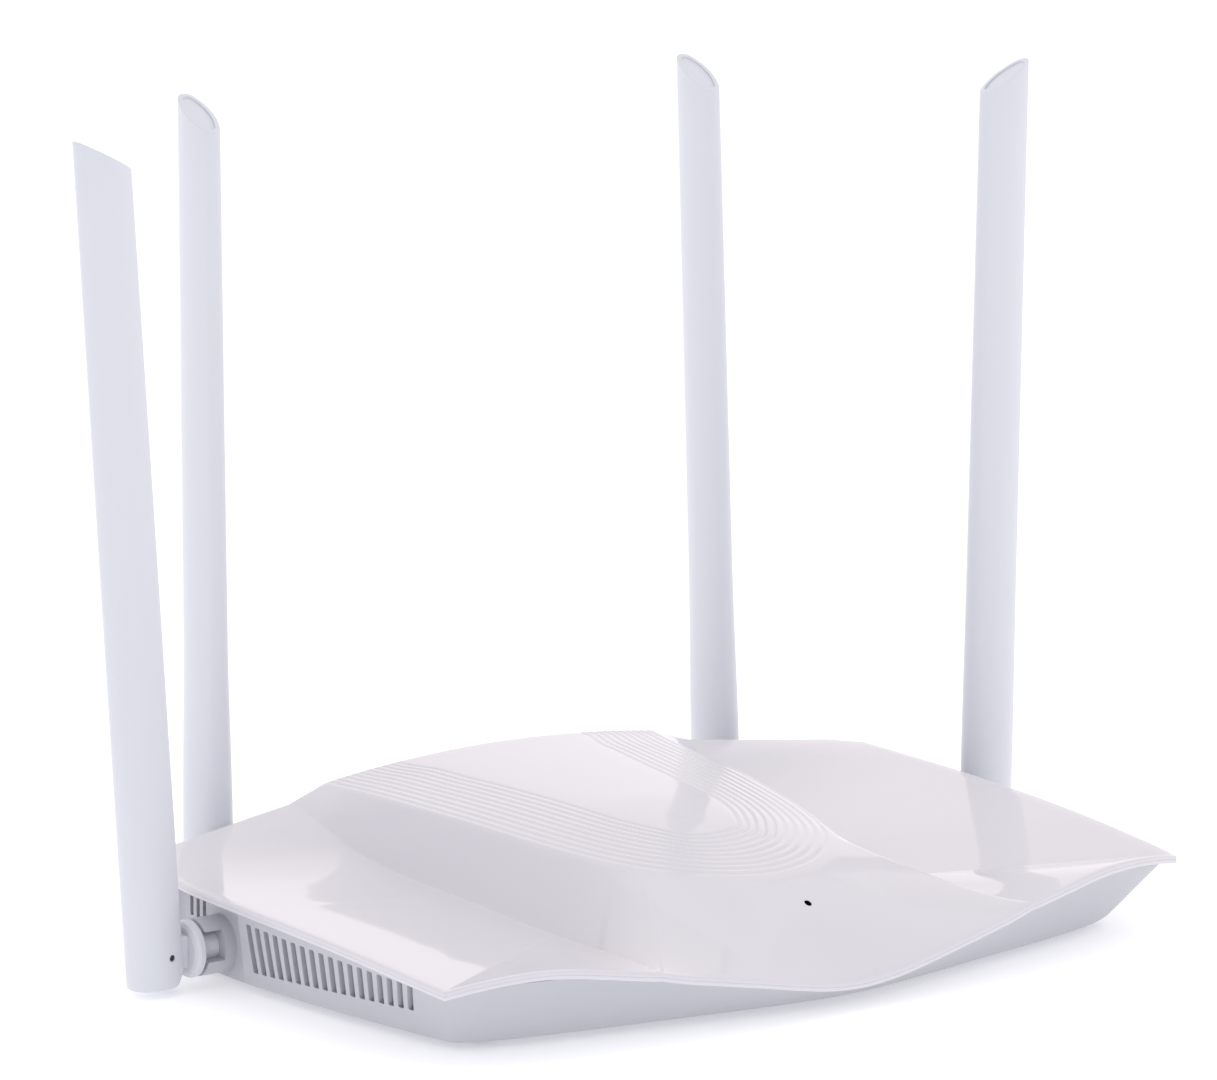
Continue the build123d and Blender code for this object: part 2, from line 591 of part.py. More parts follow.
with BuildPart() as light_pipe:
    with BuildSketch(Plane.XY.offset(PCB_TOP + 1.0)):
        with Locations((0, LED_Y)):
            Circle(1.8)
    extrude(amount=9.0)
    with BuildSketch(Plane.XY.offset(PCB_TOP + 10.0)):
        with Locations((0, LED_Y)):
            Circle(0.85)
    extrude(amount=Z0 + crown(0, LED_Y) - 1.6 - PCB_TOP - 10.0)
keep(light_pipe.part, "light_pipe")

with BuildPart() as board_screws:
    with BuildSketch(Plane.XY.offset(PCB_TOP)):
        with Locations(*BOARD_SCREWS):
            Circle(2.4)
    extrude(amount=1.4)
    with BuildSketch(Plane.XY.offset(PCB_TOP - 4.2)):
        with Locations(*BOARD_SCREWS):
            Circle(1.1)
    extrude(amount=4.2)
    with BuildSketch(Plane.XY.offset(PCB_TOP + 0.7)):
        with Locations(*BOARD_SCREWS):
            Rectangle(2.6, 0.5)
            Rectangle(0.5, 2.6)
    extrude(amount=1.0, mode=Mode.SUBTRACT)
keep(board_screws.part, "board_screws")

with BuildPart() as housing_screws:
    with BuildSketch(Plane.XY.offset(Z0 + 1.2)):
        with Locations(*COVER_SCREWS):
            Circle(2.8)
    extrude(amount=1.8)
    with BuildSketch(Plane.XY.offset(Z0 + 3.0)):
        with Locations(*COVER_SCREWS):
            Circle(1.35)
    extrude(amount=10.0)
    with BuildSketch(Plane.XY.offset(Z0 + 1.0)):
        with Locations(*COVER_SCREWS):
            Rectangle(3.2, 0.6)
            Rectangle(0.6, 3.2)
    extrude(amount=1.0, mode=Mode.SUBTRACT)
keep(housing_screws.part, "housing_screws")

with BuildPart() as rubber_feet:
    with BuildSketch(Plane.XY):
        with Locations(*FEET):
            Circle(FOOT_R - 0.1)
    extrude(amount=Z0 + 0.6)
    fillet(rubber_feet.faces().filter_by(Axis.Z).sort_by(Axis.Z)[:4].edges(), radius=0.8)
keep(rubber_feet.part, "rubber_feet")

with BuildPart() as rating_label:
    with BuildSketch(Plane.XY.offset(Z0 + 0.15)):
        with Locations((0, -28)):
            RectangleRounded(75, 37, 1.8)
    extrude(amount=0.15)
keep(rating_label.part, "rating_label")

# ---- antennas ------------------------------------------------------------------
# One antenna is drawn with its hinge pin at the origin, +X away from the
# housing and the pin along Y, then turned to its place.


def oval(w, t, r):
    """Flattened oval: two crowned sides of radius big, two round ends of radius r."""
    a = w / 2 - r
    big = (a * a + t * t / 4 - r * r) / (t - 2 * r)
    h = big - t / 2
    k = big / (big - r)
    tx, ty = a * k, h * (k - 1)
    ThreePointArc((-tx, ty), (0, t / 2), (tx, ty))
    ThreePointArc((tx, ty), (w / 2, 0), (tx, -ty))
    ThreePointArc((tx, -ty), (0, -t / 2), (-tx, -ty))
    ThreePointArc((-tx, -ty), (-w / 2, 0), (-tx, ty))


def antenna_solid(inset, z_low):
    """Lofted body of the antenna, pulled in by inset, from z_low upwards."""
    with BuildPart() as body:
        rows = [r for r in ANT_SECTIONS if r[0] > z_low + 1]
        z0, w0, t0, r0 = ANT_SECTIONS[0]
        if z_low > z0:
            z1, w1, t1, r1 = rows[0]
            f = (z_low - z0) / (z1 - z0)
            first = (z_low, w0 + (w1 - w0) * f, t0 + (t1 - t0) * f, r0 + (r1 - r0) * f)
        else:
            first = ANT_SECTIONS[0]
        for z, w, t, r in [first] + rows:
            with BuildSketch(Plane.XY.offset(z)):
                with BuildLine():
                    with Locations((0, 0)):
                        oval(w - 2 * inset, t - 2 * inset, r - inset)
                make_face()
        loft(ruled=True)
    return Pos(ANT_OFF, 0, 0) * body.part


def tip_wedge(drop):
    """Everything below the slanted tip plane lowered by drop."""
    with BuildPart() as below:
        with BuildSketch(Plane.XZ.offset(-15)):
            with BuildLine():
                x0, x1 = ANT_OFF - 7.6, ANT_OFF + 7.6
                slope = TIP_DROP / (x1 - x0)
                Polyline((x0 - 10, -20), (x1 + 10, -20), (x1 + 10, ANT_TOP + 10 * slope - drop),
                         (x0 - 10, ANT_TOP - TIP_DROP - 10 * slope - drop), close=True)
            make_face()
        extrude(amount=30)
    return below.part


CAVITY_LOW = 7.5
with BuildPart() as sleeve_base:
    add(antenna_solid(0.0, ANT_SECTIONS[0][0]))
    fillet(sleeve_base.faces().sort_by(Axis.Z)[0].edges(), radius=1.0)
    # foot of the antenna rounded about the pin on the housing side, so that it clears the flange when it folds
    with BuildSketch(Plane.XZ.offset(-15)):
        with BuildLine():
            fr, fa, fb = PIN_OFF - 0.2, math.radians(203), math.radians(235)
            ThreePointArc((fr * math.cos(fa), fr * math.sin(fa)), (fr * math.cos((fa + fb) / 2), fr * math.sin((fa + fb) / 2)),
                          (fr * math.cos(fb), fr * math.sin(fb)))
            Polyline((fr * math.cos(fb), fr * math.sin(fb)), (fr * math.cos(fb) + (10.0 + fr * math.sin(fb)), -10.0),
                     (-12.0, -10.0), (-12.0, fr * math.sin(fa)), (fr * math.cos(fa), fr * math.sin(fa)))
        make_face()
    extrude(amount=30, mode=Mode.SUBTRACT)
    add(tip_wedge(0.0), mode=Mode.INTERSECT)
    add(antenna_solid(ANT_WALL, CAVITY_LOW), mode=Mode.SUBTRACT)
    # fork slot for the tongue
    with BuildSketch(Plane.XZ.offset(-(TONGUE_T / 2 + SLOT_FIT))):
        with Locations((-5, -2.2)):
            Rectangle(10, 13.4)
        Circle(TONGUE_H / 2 + 0.5)
        # corner of the slot that the tongue's lower edge reaches when the antenna is folded down 45 degrees
        with BuildLine():
            sc = (TONGUE_H / 2 + 0.5) * math.sqrt(2.0)
            Polyline((0, 0), (sc / 2, -sc / 2), (0, -sc), (0, 0))
        make_face()
    extrude(amount=TONGUE_T + 2 * SLOT_FIT, mode=Mode.SUBTRACT)
    # pin hole through both prongs
    with BuildSketch(Plane.XZ.offset(-15)):
        Circle(PIN_R)
    extrude(amount=30, mode=Mode.SUBTRACT)

with BuildPart() as cap_base:
    add(antenna_solid(ANT_WALL, CAVITY_LOW))
    add(tip_wedge(0.5), mode=Mode.INTERSECT)
    add(tip_wedge(2.2), mode=Mode.SUBTRACT)

with BuildPart() as radiator_base:
    with BuildSketch(Plane.XY.offset(46.0)):
        with Locations((ANT_OFF, 0)):
            Rectangle(7.0, 0.8)
    extrude(amount=112.0)

with BuildPart() as feed_base:
    with BuildSketch(Plane.XY.offset(9.0)):
        with Locations((ANT_OFF, 0)):
            Circle(COAX_R)
    extrude(amount=37.0)

with BuildPart() as pin_base:
    with BuildSketch(Plane.XZ.offset(-5.4)):
        Circle(PIN_R)
    extrude(amount=10.8)

with BuildPart() as knuckle_base:
    # tongue
    with BuildSketch(Plane.XZ.offset(-TONGUE_T / 2)):
        with Locations((-PIN_OFF / 2, 0)):
            Rectangle(PIN_OFF, TONGUE_H)
        Circle(TONGUE_H / 2)
    extrude(amount=TONGUE_T)
    # flange, stem and catch ring, turned about the swivel axis
    with BuildSketch(Plane.XZ):
        with BuildLine():
            f0 = -PIN_OFF
            f1 = f0 - FLANGE_T
            s1 = f1 - STEM_LEN - CATCH_GAP
            Polyline((f0, 0), (f0, FLANGE_R - 1.4))
            Line((f0, FLANGE_R - 1.4), (f0 - 0.4, FLANGE_R - 0.5))
            Line((f0 - 0.4, FLANGE_R - 0.5), (f0 - 1.3, FLANGE_R))
            Line((f0 - 1.3, FLANGE_R), (f1 + 0.7, FLANGE_R))
            Line((f1 + 0.7, FLANGE_R), (f1, FLANGE_R - 0.7))
            Polyline((f1, FLANGE_R - 0.7), (f1, STEM_R), (s1, STEM_R), (s1, CATCH_R),
                     (s1 - CATCH_T, CATCH_R), (s1 - CATCH_T, 0), (f0, 0))
        make_face()
    revolve(axis=Axis.X, revolution_arc=360)
    # coax passage along the stem
    with BuildSketch(Plane.YZ.offset(s1 - CATCH_T - 1)):
        Circle(STEM_BORE)
    extrude(amount=CATCH_T + STEM_LEN + FLANGE_T + 3.0, mode=Mode.SUBTRACT)
    with BuildSketch(Plane.XZ.offset(-15)):
        Circle(PIN_R + PIN_FIT)
    extrude(amount=30, mode=Mode.SUBTRACT)

SIDE_PIN = SIDE_FLANGE + FLANGE_T + PIN_OFF      # |x| of the side hinge pins
REAR_PIN = REAR_FLANGE + FLANGE_T + PIN_OFF      # y of the rear hinge pins
PLACES = {
    "left": (Location((-SIDE_PIN, SIDE_Y, HINGE_Z), (0, 0, 180)), 0.0, LEAN_LEFT),
    "rear_left": (Location((-REAR_X, REAR_PIN, HINGE_Z), (0, 0, 90)), 0.0, 0.0),
    "rear_right": (Location((REAR_X, REAR_PIN, HINGE_Z), (0, 0, 90)), SWING_REAR_RIGHT, 0.0),
    "right": (Location((SIDE_PIN, SIDE_Y, HINGE_Z), (0, 0, 0)), 0.0, LEAN_RIGHT),
}
for place, (seat, swing, lean) in PLACES.items():
    turned = seat * Rot(swing, 0, 0)
    folded = turned * Rot(0, lean, 0)
    keep(turned * knuckle_base.part, "knuckle_" + place)
    keep(turned * pin_base.part, "hinge_pin_" + place)
    keep(folded * sleeve_base.part, "antenna_sleeve_" + place)
    keep(folded * cap_base.part, "antenna_cap_" + place)
    keep(folded * radiator_base.part, "radiator_" + place)
    keep(folded * feed_base.part, "antenna_feed_" + place)

# ---- coax leads: from the board's connectors into the stems -----------------------
LEAD_Z = PCB_TOP + 1.1
CATCH_END = STEM_LEN + CATCH_GAP + CATCH_T       # flange to the stem's inner end
SIDE_IN = SIDE_FLANGE - CATCH_END
REAR_IN = REAR_FLANGE - CATCH_END


def lead(points):
    """Round lead along straight runs joined by tangent arcs; prints its length and radii."""
    radii = []
    for p, q, r in zip(points[:-2], points[1:-1], points[2:]):
        u = (Vector(*q) - Vector(*p))
        v = (Vector(*r) - Vector(*q))
        half = math.radians(u.get_angle(v)) / 2
        radii.append(0.45 * min(u.length, v.length) / math.tan(half))
    with BuildPart() as tube:
        with BuildLine() as path:
            FilletPolyline(*points, radius=radii)
        with BuildSketch(Plane(origin=path.line @ 0, z_dir=path.line % 0)):
            Circle(COAX_R)
        sweep()
    length = sum(e.length for e in path.edges())
    print("lead", round(length, 1), "mm, radii", [round(r, 1) for r in radii],
          "volume ratio", round(tube.part.volume / (math.pi * COAX_R ** 2 * length), 4))
    return tube.part


for side, s in (("left", -1), ("right", 1)):
    cx, cy = CONNECTORS[side]
    keep(lead([(cx + s * 1.7, cy, LEAD_Z), (s * 76.0, cy + 0.3, LEAD_Z), (s * 90.0, SIDE_Y - 2.2, LEAD_Z + 0.9),
               (s * 101.0, SIDE_Y, HINGE_Z), (s * (SIDE_IN + 4.0), SIDE_Y, HINGE_Z)]), "coax_lead_" + side)
for side, s in (("rear_left", -1), ("rear_right", 1)):
    cx, cy = CONNECTORS[side]
    keep(lead([(cx + s * 1.7, cy, LEAD_Z), (s * (REAR_X - 12.5), cy + 0.4, LEAD_Z + 0.2),
               (s * (REAR_X - 3.4), cy + 4.4 if s < 0 else cy + 5.0, HINGE_Z - 0.2),
               (s * REAR_X, REAR_IN - 2.0, HINGE_Z), (s * REAR_X, REAR_IN + 5.0, HINGE_Z)]), "coax_lead_" + side)
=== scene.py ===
"""Looks of the desktop wireless router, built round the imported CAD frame."""
import bisect
import json
import math

import bmesh
import bpy
import numpy as np
from mathutils import Matrix, Vector


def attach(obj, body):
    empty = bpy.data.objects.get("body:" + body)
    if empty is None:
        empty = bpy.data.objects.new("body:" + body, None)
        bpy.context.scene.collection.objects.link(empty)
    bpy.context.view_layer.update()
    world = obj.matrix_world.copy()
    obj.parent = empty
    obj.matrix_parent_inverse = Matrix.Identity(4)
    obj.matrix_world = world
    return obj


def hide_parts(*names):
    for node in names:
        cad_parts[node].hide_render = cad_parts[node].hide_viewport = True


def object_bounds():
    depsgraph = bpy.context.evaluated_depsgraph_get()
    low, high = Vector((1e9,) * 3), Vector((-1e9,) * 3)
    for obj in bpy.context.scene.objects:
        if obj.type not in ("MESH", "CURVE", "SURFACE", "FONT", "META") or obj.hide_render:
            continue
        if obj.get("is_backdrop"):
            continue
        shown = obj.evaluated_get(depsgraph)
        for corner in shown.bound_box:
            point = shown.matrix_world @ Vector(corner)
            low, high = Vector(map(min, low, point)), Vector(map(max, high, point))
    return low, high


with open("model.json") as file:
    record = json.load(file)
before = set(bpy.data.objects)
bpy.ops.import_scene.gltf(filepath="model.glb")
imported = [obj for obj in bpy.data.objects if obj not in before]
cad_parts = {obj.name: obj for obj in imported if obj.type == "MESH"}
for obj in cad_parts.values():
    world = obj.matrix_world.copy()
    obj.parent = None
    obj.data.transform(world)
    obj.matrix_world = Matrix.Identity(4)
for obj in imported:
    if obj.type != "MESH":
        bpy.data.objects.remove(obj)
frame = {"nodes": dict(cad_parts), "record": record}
bounds_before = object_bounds()
record = frame["record"]
nodes = frame["nodes"]
MM = 0.001
Z0 = 2.0

# ------------------------------------------------------------------ sizes (mm)
HINGE_Z = Z0 + 8.3
SIDE_Y, REAR_X = 28.6, 83.6
PIN_OFF = 6.6
SIDE_PIN, REAR_PIN = 123.4 + 3.2 + PIN_OFF, 72.5 + 3.2 + PIN_OFF
ANT_OFF, ANT_TOP, TIP_DROP, ANT_WALL = 1.8, 207.5, 8.8, 1.3
ANT_SECTIONS = [(-8.0, 15.0, 12.8, 5.8), (22.0, 15.3, 12.0, 5.2), (65.0, 15.8, 9.2, 3.4), (215.0, 15.2, 8.2, 2.9)]
TONGUE_T, TONGUE_H, PIN_R, SLOT_FIT = 5.6, 8.2, 0.9, 0.35
SKIN = 2.2
LED_Y = -65.0
POLE_Y = 10.0

PLATEAU = [(53.6, 74.5, 32.7), (53.2, 71, 32.6), (50.2, 54.9, 32.4), (48.1, 37.5, 32.1), (45.8, 20.7, 31.6),
           (44.0, 10.0, 31.0), (43.1, 5.0, 30.7), (40.0, -10.0, 29.8), (36.0, -23.5, 28.9), (30.5, -35.2, 28.1),
           (23.0, -44.2, 27.4), (14.6, -50.3, 26.8), (7.0, -53.0, 26.4), (0.0, -53.7, 26.2)]
CREASE = [(65.9, 74.5, 29.0), (63.6, 65.0, 26.4), (62.1, 58.0, 23.3), (60.8, 51.0, 20.4), (59.2, 42.0, 18.1),
          (57.5, 33.0, 16.5), (55.8, 22.0, 15.3), (54.2, 10.0, 14.4), (53.0, -1.0, 13.5), (51.7, -13.0, 12.4),
          (50.3, -24.0, 11.7), (49.6, -36.0, 11.5), (49.9, -44.0, 11.8), (51.0, -52.0, 12.6), (52.9, -61.0, 13.7),
          (56.0, -73.0, 15.1), (59.0, -82.6, 15.6)]
RIM_MID = [(59.0, -82.6, 15.6), (51.6, -83.9, 13.9), (40.1, -85.4, 11.6), (30.2, -86.4, 9.7), (18.3, -87.0, 7.2),
           (9.0, -87.1, 5.6), (0.0, -87.1, 5.0)]
SIDE = [(116.0, 74.5, 23.6), (117.6, 61.0, 23.3), (120.0, 38.0, 22.4), (120.3, 25.0, 22.2), (120.2, 12.7, 22.0),
        (120.1, 10.0, 21.9), (119.9, 1.0, 21.7), (119.6, -10.0, 21.4), (119.2, -21.5, 21.0), (118.7, -32.5, 20.5),
        (118.2, -43.0, 19.9), (117.6, -53.0, 19.2), (116.9, -63.5, 18.5), (116.0, -72.5, 17.7)]
RIM_SIDE_FRONT = [(116.0, -72.5, 17.7), (110.0, -74.4, 18.9), (96.2, -77.6, 20.2), (85.8, -79.4, 19.9),
                  (74.1, -81.1, 18.2), (62.7, -82.3, 16.2), (59.0, -82.6, 15.6)]
REAR_EDGE = [(0.0, 74.5), (40.0, 74.5), (61.3, 74.0), (76.7, 72.7), (92.5, 70.6), (108.6, 67.8), (117.6, 61.0)]
GROOVE_IN = [(28.9, 74.5), (28.7, 70.7), (25.4, 61.5), (23.8, 49.7), (21.8, 38.5), (20.2, 27.1), (18.7, 15.7),
             (17.9, 8.0), (17.5, 4.2), (15.7, -6.5), (12.5, -15.5), (8.2, -23.1), (4.0, -25.1), (0.0, -25.6)]
GROOVES = 10
GROOVE_DEPTH = 0.30


# ------------------------------------------------------- smooth curve sampling
def smooth(points, mirror=False, step=0.6):
    """Catmull-Rom points along a list of points; mirrored in x past its last point if asked."""
    pts = [tuple(p) for p in points]
    tail = [(-pts[-2][0],) + pts[-2][1:]] if mirror else [tuple(2 * a - b for a, b in zip(pts[-1], pts[-2]))]
    head = [tuple(2 * a - b for a, b in zip(pts[0], pts[1]))]
    ext = head + pts + tail
    out = []
    for i in range(1, len(ext) - 2):
        p0, p1, p2, p3 = ext[i - 1], ext[i], ext[i + 1], ext[i + 2]

        def gap(a, b):
            return max(math.dist(a, b), 1e-6) ** 0.5
        t0 = 0.0
        t1 = t0 + gap(p0, p1)
        t2 = t1 + gap(p1, p2)
        t3 = t2 + gap(p2, p3)
        n = max(2, int(math.dist(p1, p2) / step))
        for k in range(n):
            t = t1 + (t2 - t1) * k / n
            q = []
            for a, b, c, d in zip(p0, p1, p2, p3):
                a1 = a + (b - a) * (t - t0) / (t1 - t0)
                a2 = b + (c - b) * (t - t1) / (t2 - t1)
                a3 = c + (d - c) * (t - t2) / (t3 - t2)
                b1 = a1 + (a2 - a1) * (t - t0) / (t2 - t0)
                b2 = a2 + (a3 - a2) * (t - t1) / (t3 - t1)
                q.append(b1 + (b2 - b1) * (t - t1) / (t2 - t1))
            out.append(tuple(q))
    out.append(pts[-1])
    return out


def split(points):
    """Samples of a curve as a table over y (rear part) and one over the ray angle (front part)."""
    rear = sorted((p[1], p[0]) + tuple(p[2:]) for p in points if p[1] >= POLE_Y - 2.0)
    front = sorted((math.atan2(p[0], POLE_Y - p[1]), math.hypot(p[0], POLE_Y - p[1])) + tuple(p[2:])
                   for p in points if p[1] <= POLE_Y + 2.0)
    return ([r[0] for r in rear], rear), ([r[0] for r in front], front)


def look(table, at):
    keys, rows = table
    i = bisect.bisect_right(keys, at)
    if i <= 0:
        return rows[0][1:]
    if i >= len(rows):
        return rows[-1][1:]
    a, b = rows[i - 1], rows[i]
    t = (at - a[0]) / max(b[0] - a[0], 1e-9)
    return tuple(p + t * (q - p) for p, q in zip(a[1:], b[1:]))


plateau_rear, plateau_front = split(smooth(PLATEAU, True))
mid_rim = smooth(RIM_MID, True)
crease_rear, crease_front = split(smooth(CREASE)[:-1] + mid_rim)
side_rear, side_front = split(smooth(SIDE)[:-1] + smooth(RIM_SIDE_FRONT)[:-1] + mid_rim)
groove_rear, groove_front = split(smooth(GROOVE_IN, True))


def curves(x, y):
    """Where (x, y) lies between the shaping curves: s, (e, ze), (c, zc), (r, zr), inner groove, front share."""
    x = abs(x)
    if y >= POLE_Y:
        return (x, look(plateau_rear, y), look(crease_rear, y), look(side_rear, y), look(groove_rear, y)[0], 0.0)
    ang = math.atan2(x, POLE_Y - y)
    return (math.hypot(x, POLE_Y - y), look(plateau_front, ang), look(crease_front, ang), look(side_front, ang),
            look(groove_front, ang)[0], max(0.0, math.cos(ang)) ** 2)


def hollow(degrees):
    """How strongly the band sags on a ray: most where the crease meets the front rim."""
    off = degrees - 32.5
    return 1.0 + 0.5 * math.exp(-(off / (4.6 if off < 0 else 3.8)) ** 2)


def band(s, e, ze, c, zc, front, ang):
    v = (s - e) / max(c - e, 1e-6)
    shape = (1 - front) * max(1.0 - v, 0.0) ** 1.12 + front * (1 - v ** 1.25)
    return zc + (ze - zc) * max(shape, 0.0) ** hollow(ang)


def raw_height(s, e, ze, c, zc, r, zr, front, y, ang):
    top = 34.9 + 1.5 * min(1.0, max(0.0, (y - POLE_Y) / 62.0))
    power = 1.9 - 0.3 * front
    if s <= e:
        return top + (ze - top) * (s / e) ** power
    if s <= c:
        return band(s, e, ze, c, zc, front, ang)
    v = min((s - c) / max(r - c, 1e-6), 1.6) if r > c + 0.5 else 1.0
    return zc + (zr - zc) * v


def height(x, y, grooves=True):
    """Height of the cover's top above the floor underside, with its edges eased and its grooves."""
    s, (e, ze), (c, zc), (r, zr), g, front = curves(x, y)
    ang = 90.0 if y >= POLE_Y else math.degrees(math.atan2(abs(x), POLE_Y - y))

    def h(q):
        return raw_height(q, e, ze, c, zc, r, zr, front, y, ang)
    ease = 1.1 + 1.3 * front
    nip = 0.45
    if abs(s - e) < ease:
        a, b = h(e - ease), h(e + ease)
        t = (s - e + ease) / (2 * ease)
        mid = h(e)
        z = (1 - t) ** 2 * a + 2 * t * (1 - t) * mid + t * t * b
    elif abs(s - c) < nip and r > c + 1.5:
        a, b = h(c - nip), h(c + nip)
        t = (s - c + nip) / (2 * nip)
        z = (1 - t) ** 2 * a + 2 * t * (1 - t) * h(c) + t * t * b
    else:
        z = h(s)
    if grooves and g < s < e - 0.3:
        u = (s - g) / (e - 0.3 - g) * GROOVES
        z -= GROOVE_DEPTH * (0.5 - 0.5 * math.cos(2 * math.pi * u)) ** 1.4
    return z


# --------------------------------------------------------------- mesh helpers
def make_mesh(name, verts, faces, merge=None, smooth_angle=40.0):
    mesh = bpy.data.meshes.new(name)
    mesh.from_pydata(verts, [], faces)
    bm = bmesh.new()
    bm.from_mesh(mesh)
    if merge:
        bmesh.ops.remove_doubles(bm, verts=bm.verts, dist=merge)
    bmesh.ops.dissolve_degenerate(bm, edges=bm.edges, dist=1e-7)
    bmesh.ops.recalc_face_normals(bm, faces=bm.faces)
    bm.to_mesh(mesh)
    bm.free()
    mesh.update()
    obj = bpy.data.objects.new(name, mesh)
    bpy.context.scene.collection.objects.link(obj)
    shade(obj, smooth_angle)
    return obj


def shade(obj, smooth_angle):
    obj.data.shade_smooth()
    obj.data.set_sharp_from_angle(angle=math.radians(smooth_angle))


def cut(obj, tool, operation="DIFFERENCE"):
    """Boolean of obj with tool, applied; the tool is removed."""
    mod = obj.modifiers.new("cut", "BOOLEAN")
    mod.operation = operation
    mod.solver = "EXACT"
    mod.object = tool
    bpy.context.view_layer.update()
    done = bpy.data.meshes.new_from_object(obj.evaluated_get(bpy.context.evaluated_depsgraph_get()))
    obj.modifiers.remove(mod)
    if len(done.polygons) > 20:
        obj.data = done
    bpy.data.objects.remove(tool)


def prism(name, outline, y0, y1):
    """Closed solid with an (x, z) outline between two y planes."""
    n = len(outline)
    verts = [(x, y0, z) for x, z in outline] + [(x, y1, z) for x, z in outline]
    faces = [tuple(range(n)), tuple(range(2 * n - 1, n - 1, -1))]
    faces += [(i, (i + 1) % n, n + (i + 1) % n, n + i) for i in range(n)]
    return make_mesh(name, verts, faces)


# ------------------------------------------------------------------- top cover
def rear_edge(x):
    x = abs(x)
    for (x0, y0), (x1, y1) in zip(REAR_EDGE[:-1], REAR_EDGE[1:]):
        if x <= x1:
            return y0 + (y1 - y0) * (x - x0) / (x1 - x0)
    return REAR_EDGE[-1][1]


RIM_R = 0.7
INSET = 0.75


def columns(s_groove, e, c, r, front):
    """Distances from the middle (or pole) of the mesh columns, the last just inside the rim."""
    ease = 1.1 + 1.3 * front
    last = r - INSET
    e1 = e + ease
    c1 = min(c, last - 0.9)
    out = [s_groove * (k / 13.0) for k in range(13)]
    out += [s_groove + (e - 0.3 - s_groove) * k / (GROOVES * 8.0) for k in range(GROOVES * 8)]
    out += [e - 0.3 + (ease + 0.3) * k / 6.0 for k in range(6)]
    out += [e1 + (c1 - 0.45 - e1) * k / 16.0 for k in range(16)]
    out += [c1 - 0.45 + 0.9 * k / 4.0 for k in range(4)]
    w0 = c1 + 0.45
    out += [w0 + (last - w0) * k / 22.0 for k in range(23)]
    return out


REAR_ROWS, FRONT_RAYS = 64, 272
N_COLS = len(columns(20, 45, 55, 120, 0))


def rear_line(v, sign):
    """Mesh line behind the pole: v from 0 (y of the pole) to 1 (rear edge)."""
    xs, ys = [], []
    for k in range(N_COLS):
        y = POLE_Y + v * 64.0
        x = 0.0
        for _ in range(8):
            e, c, r = look(plateau_rear, y)[0], look(crease_rear, y)[0], look(side_rear, y)[0]
            x = columns(look(groove_rear, y)[0], e, c, r, 0.0)[k]
            y = POLE_Y + v * (rear_edge(x) - INSET - POLE_Y)
        xs.append(x * sign)
        ys.append(y)
    return list(zip(xs, ys))


def front_line(ang):
    a = abs(ang)
    e, c, r = look(plateau_front, a)[0], look(crease_front, a)[0], look(side_front, a)[0]
    cols = columns(look(groove_front, a)[0], e, c, r, max(0.0, math.cos(a)) ** 2)
    return [(s * math.sin(ang), POLE_Y - s * math.cos(ang)) for s in cols]


# ray angles, gathered where the rim turns its corners
corner = math.atan2(116.0, POLE_Y + 72.5)
rays = []
for k in range(FRONT_RAYS + 1):
    rays.append(-math.pi / 2 + math.pi * k / FRONT_RAYS)
for special in (corner, math.atan2(59.0, POLE_Y + 82.6)):
    for sgn in (1, -1):
        i = min(range(len(rays)), key=lambda j: abs(rays[j] - sgn * special))
        rays[i] = sgn * special

lines = [rear_line(1 - j / REAR_ROWS, -1) for j in range(REAR_ROWS)]
lines += [front_line(a) for a in rays]
lines += [rear_line((j + 1) / REAR_ROWS, 1) for j in range(REAR_ROWS)]
n_lines = len(lines)

cover_v, cover_f = [], []


def put(x, y, z):
    cover_v.append((x * MM, y * MM, (z + Z0) * MM))
    return len(cover_v) - 1


# heights without the grooves, the band's front corners drawn taut like a film between its edges
flat = np.array([[height(x, y, False) for x, y in line] for line in lines])
grooved = np.array([[height(x, y) for x, y in line] for line in lines]) - flat
spots = np.array(lines)
FILM_IN, FILM_OUT = 99, 117
film = flat.copy()
rows_in = [REAR_ROWS + j for j, a in enumerate(rays) if 10.0 < abs(math.degrees(a)) < 56.0]
rows_in = np.array(rows_in)
cols_in = np.arange(FILM_IN + 1, FILM_OUT)
ri, ci = np.meshgrid(rows_in, cols_in, indexing="ij")


def step_to(di, dj):
    return np.maximum(np.linalg.norm(spots[ri + di, ci + dj] - spots[ri, ci], axis=2), 0.05)


d_up, d_dn, d_in, d_out = step_to(-1, 0), step_to(1, 0), step_to(0, -1), step_to(0, 1)
w_up, w_dn = 1 / (d_up * (d_up + d_dn)), 1 / (d_dn * (d_up + d_dn))
w_in, w_out = 1 / (d_in * (d_in + d_out)), 1 / (d_out * (d_in + d_out))
w_sum = w_up + w_dn + w_in + w_out
for _ in range(3000):
    film[ri, ci] = (w_up * film[ri - 1, ci] + w_dn * film[ri + 1, ci]
                    + w_in * film[ri, ci - 1] + w_out * film[ri, ci + 1]) / w_sum
share = np.zeros(n_lines)
for j, a in enumerate(rays):
    q = abs(math.degrees(a))
    t = min(1.0, max(0.0, min((q - 10.0) / 10.0, (56.0 - q) / 10.0)))
    share[REAR_ROWS + j] = t * t * (3 - 2 * t)
level = flat + share[:, None] * (film - flat)
soft = np.clip(1.0 - np.abs(np.arange(N_COLS) - 99.0) / 7.0, 0.0, 1.0)[None, :] * share[:, None]
gap_in = np.maximum(np.linalg.norm(spots[:, 1:-1] - spots[:, :-2], axis=2), 0.05)
gap_out = np.maximum(np.linalg.norm(spots[:, 2:] - spots[:, 1:-1], axis=2), 0.05)
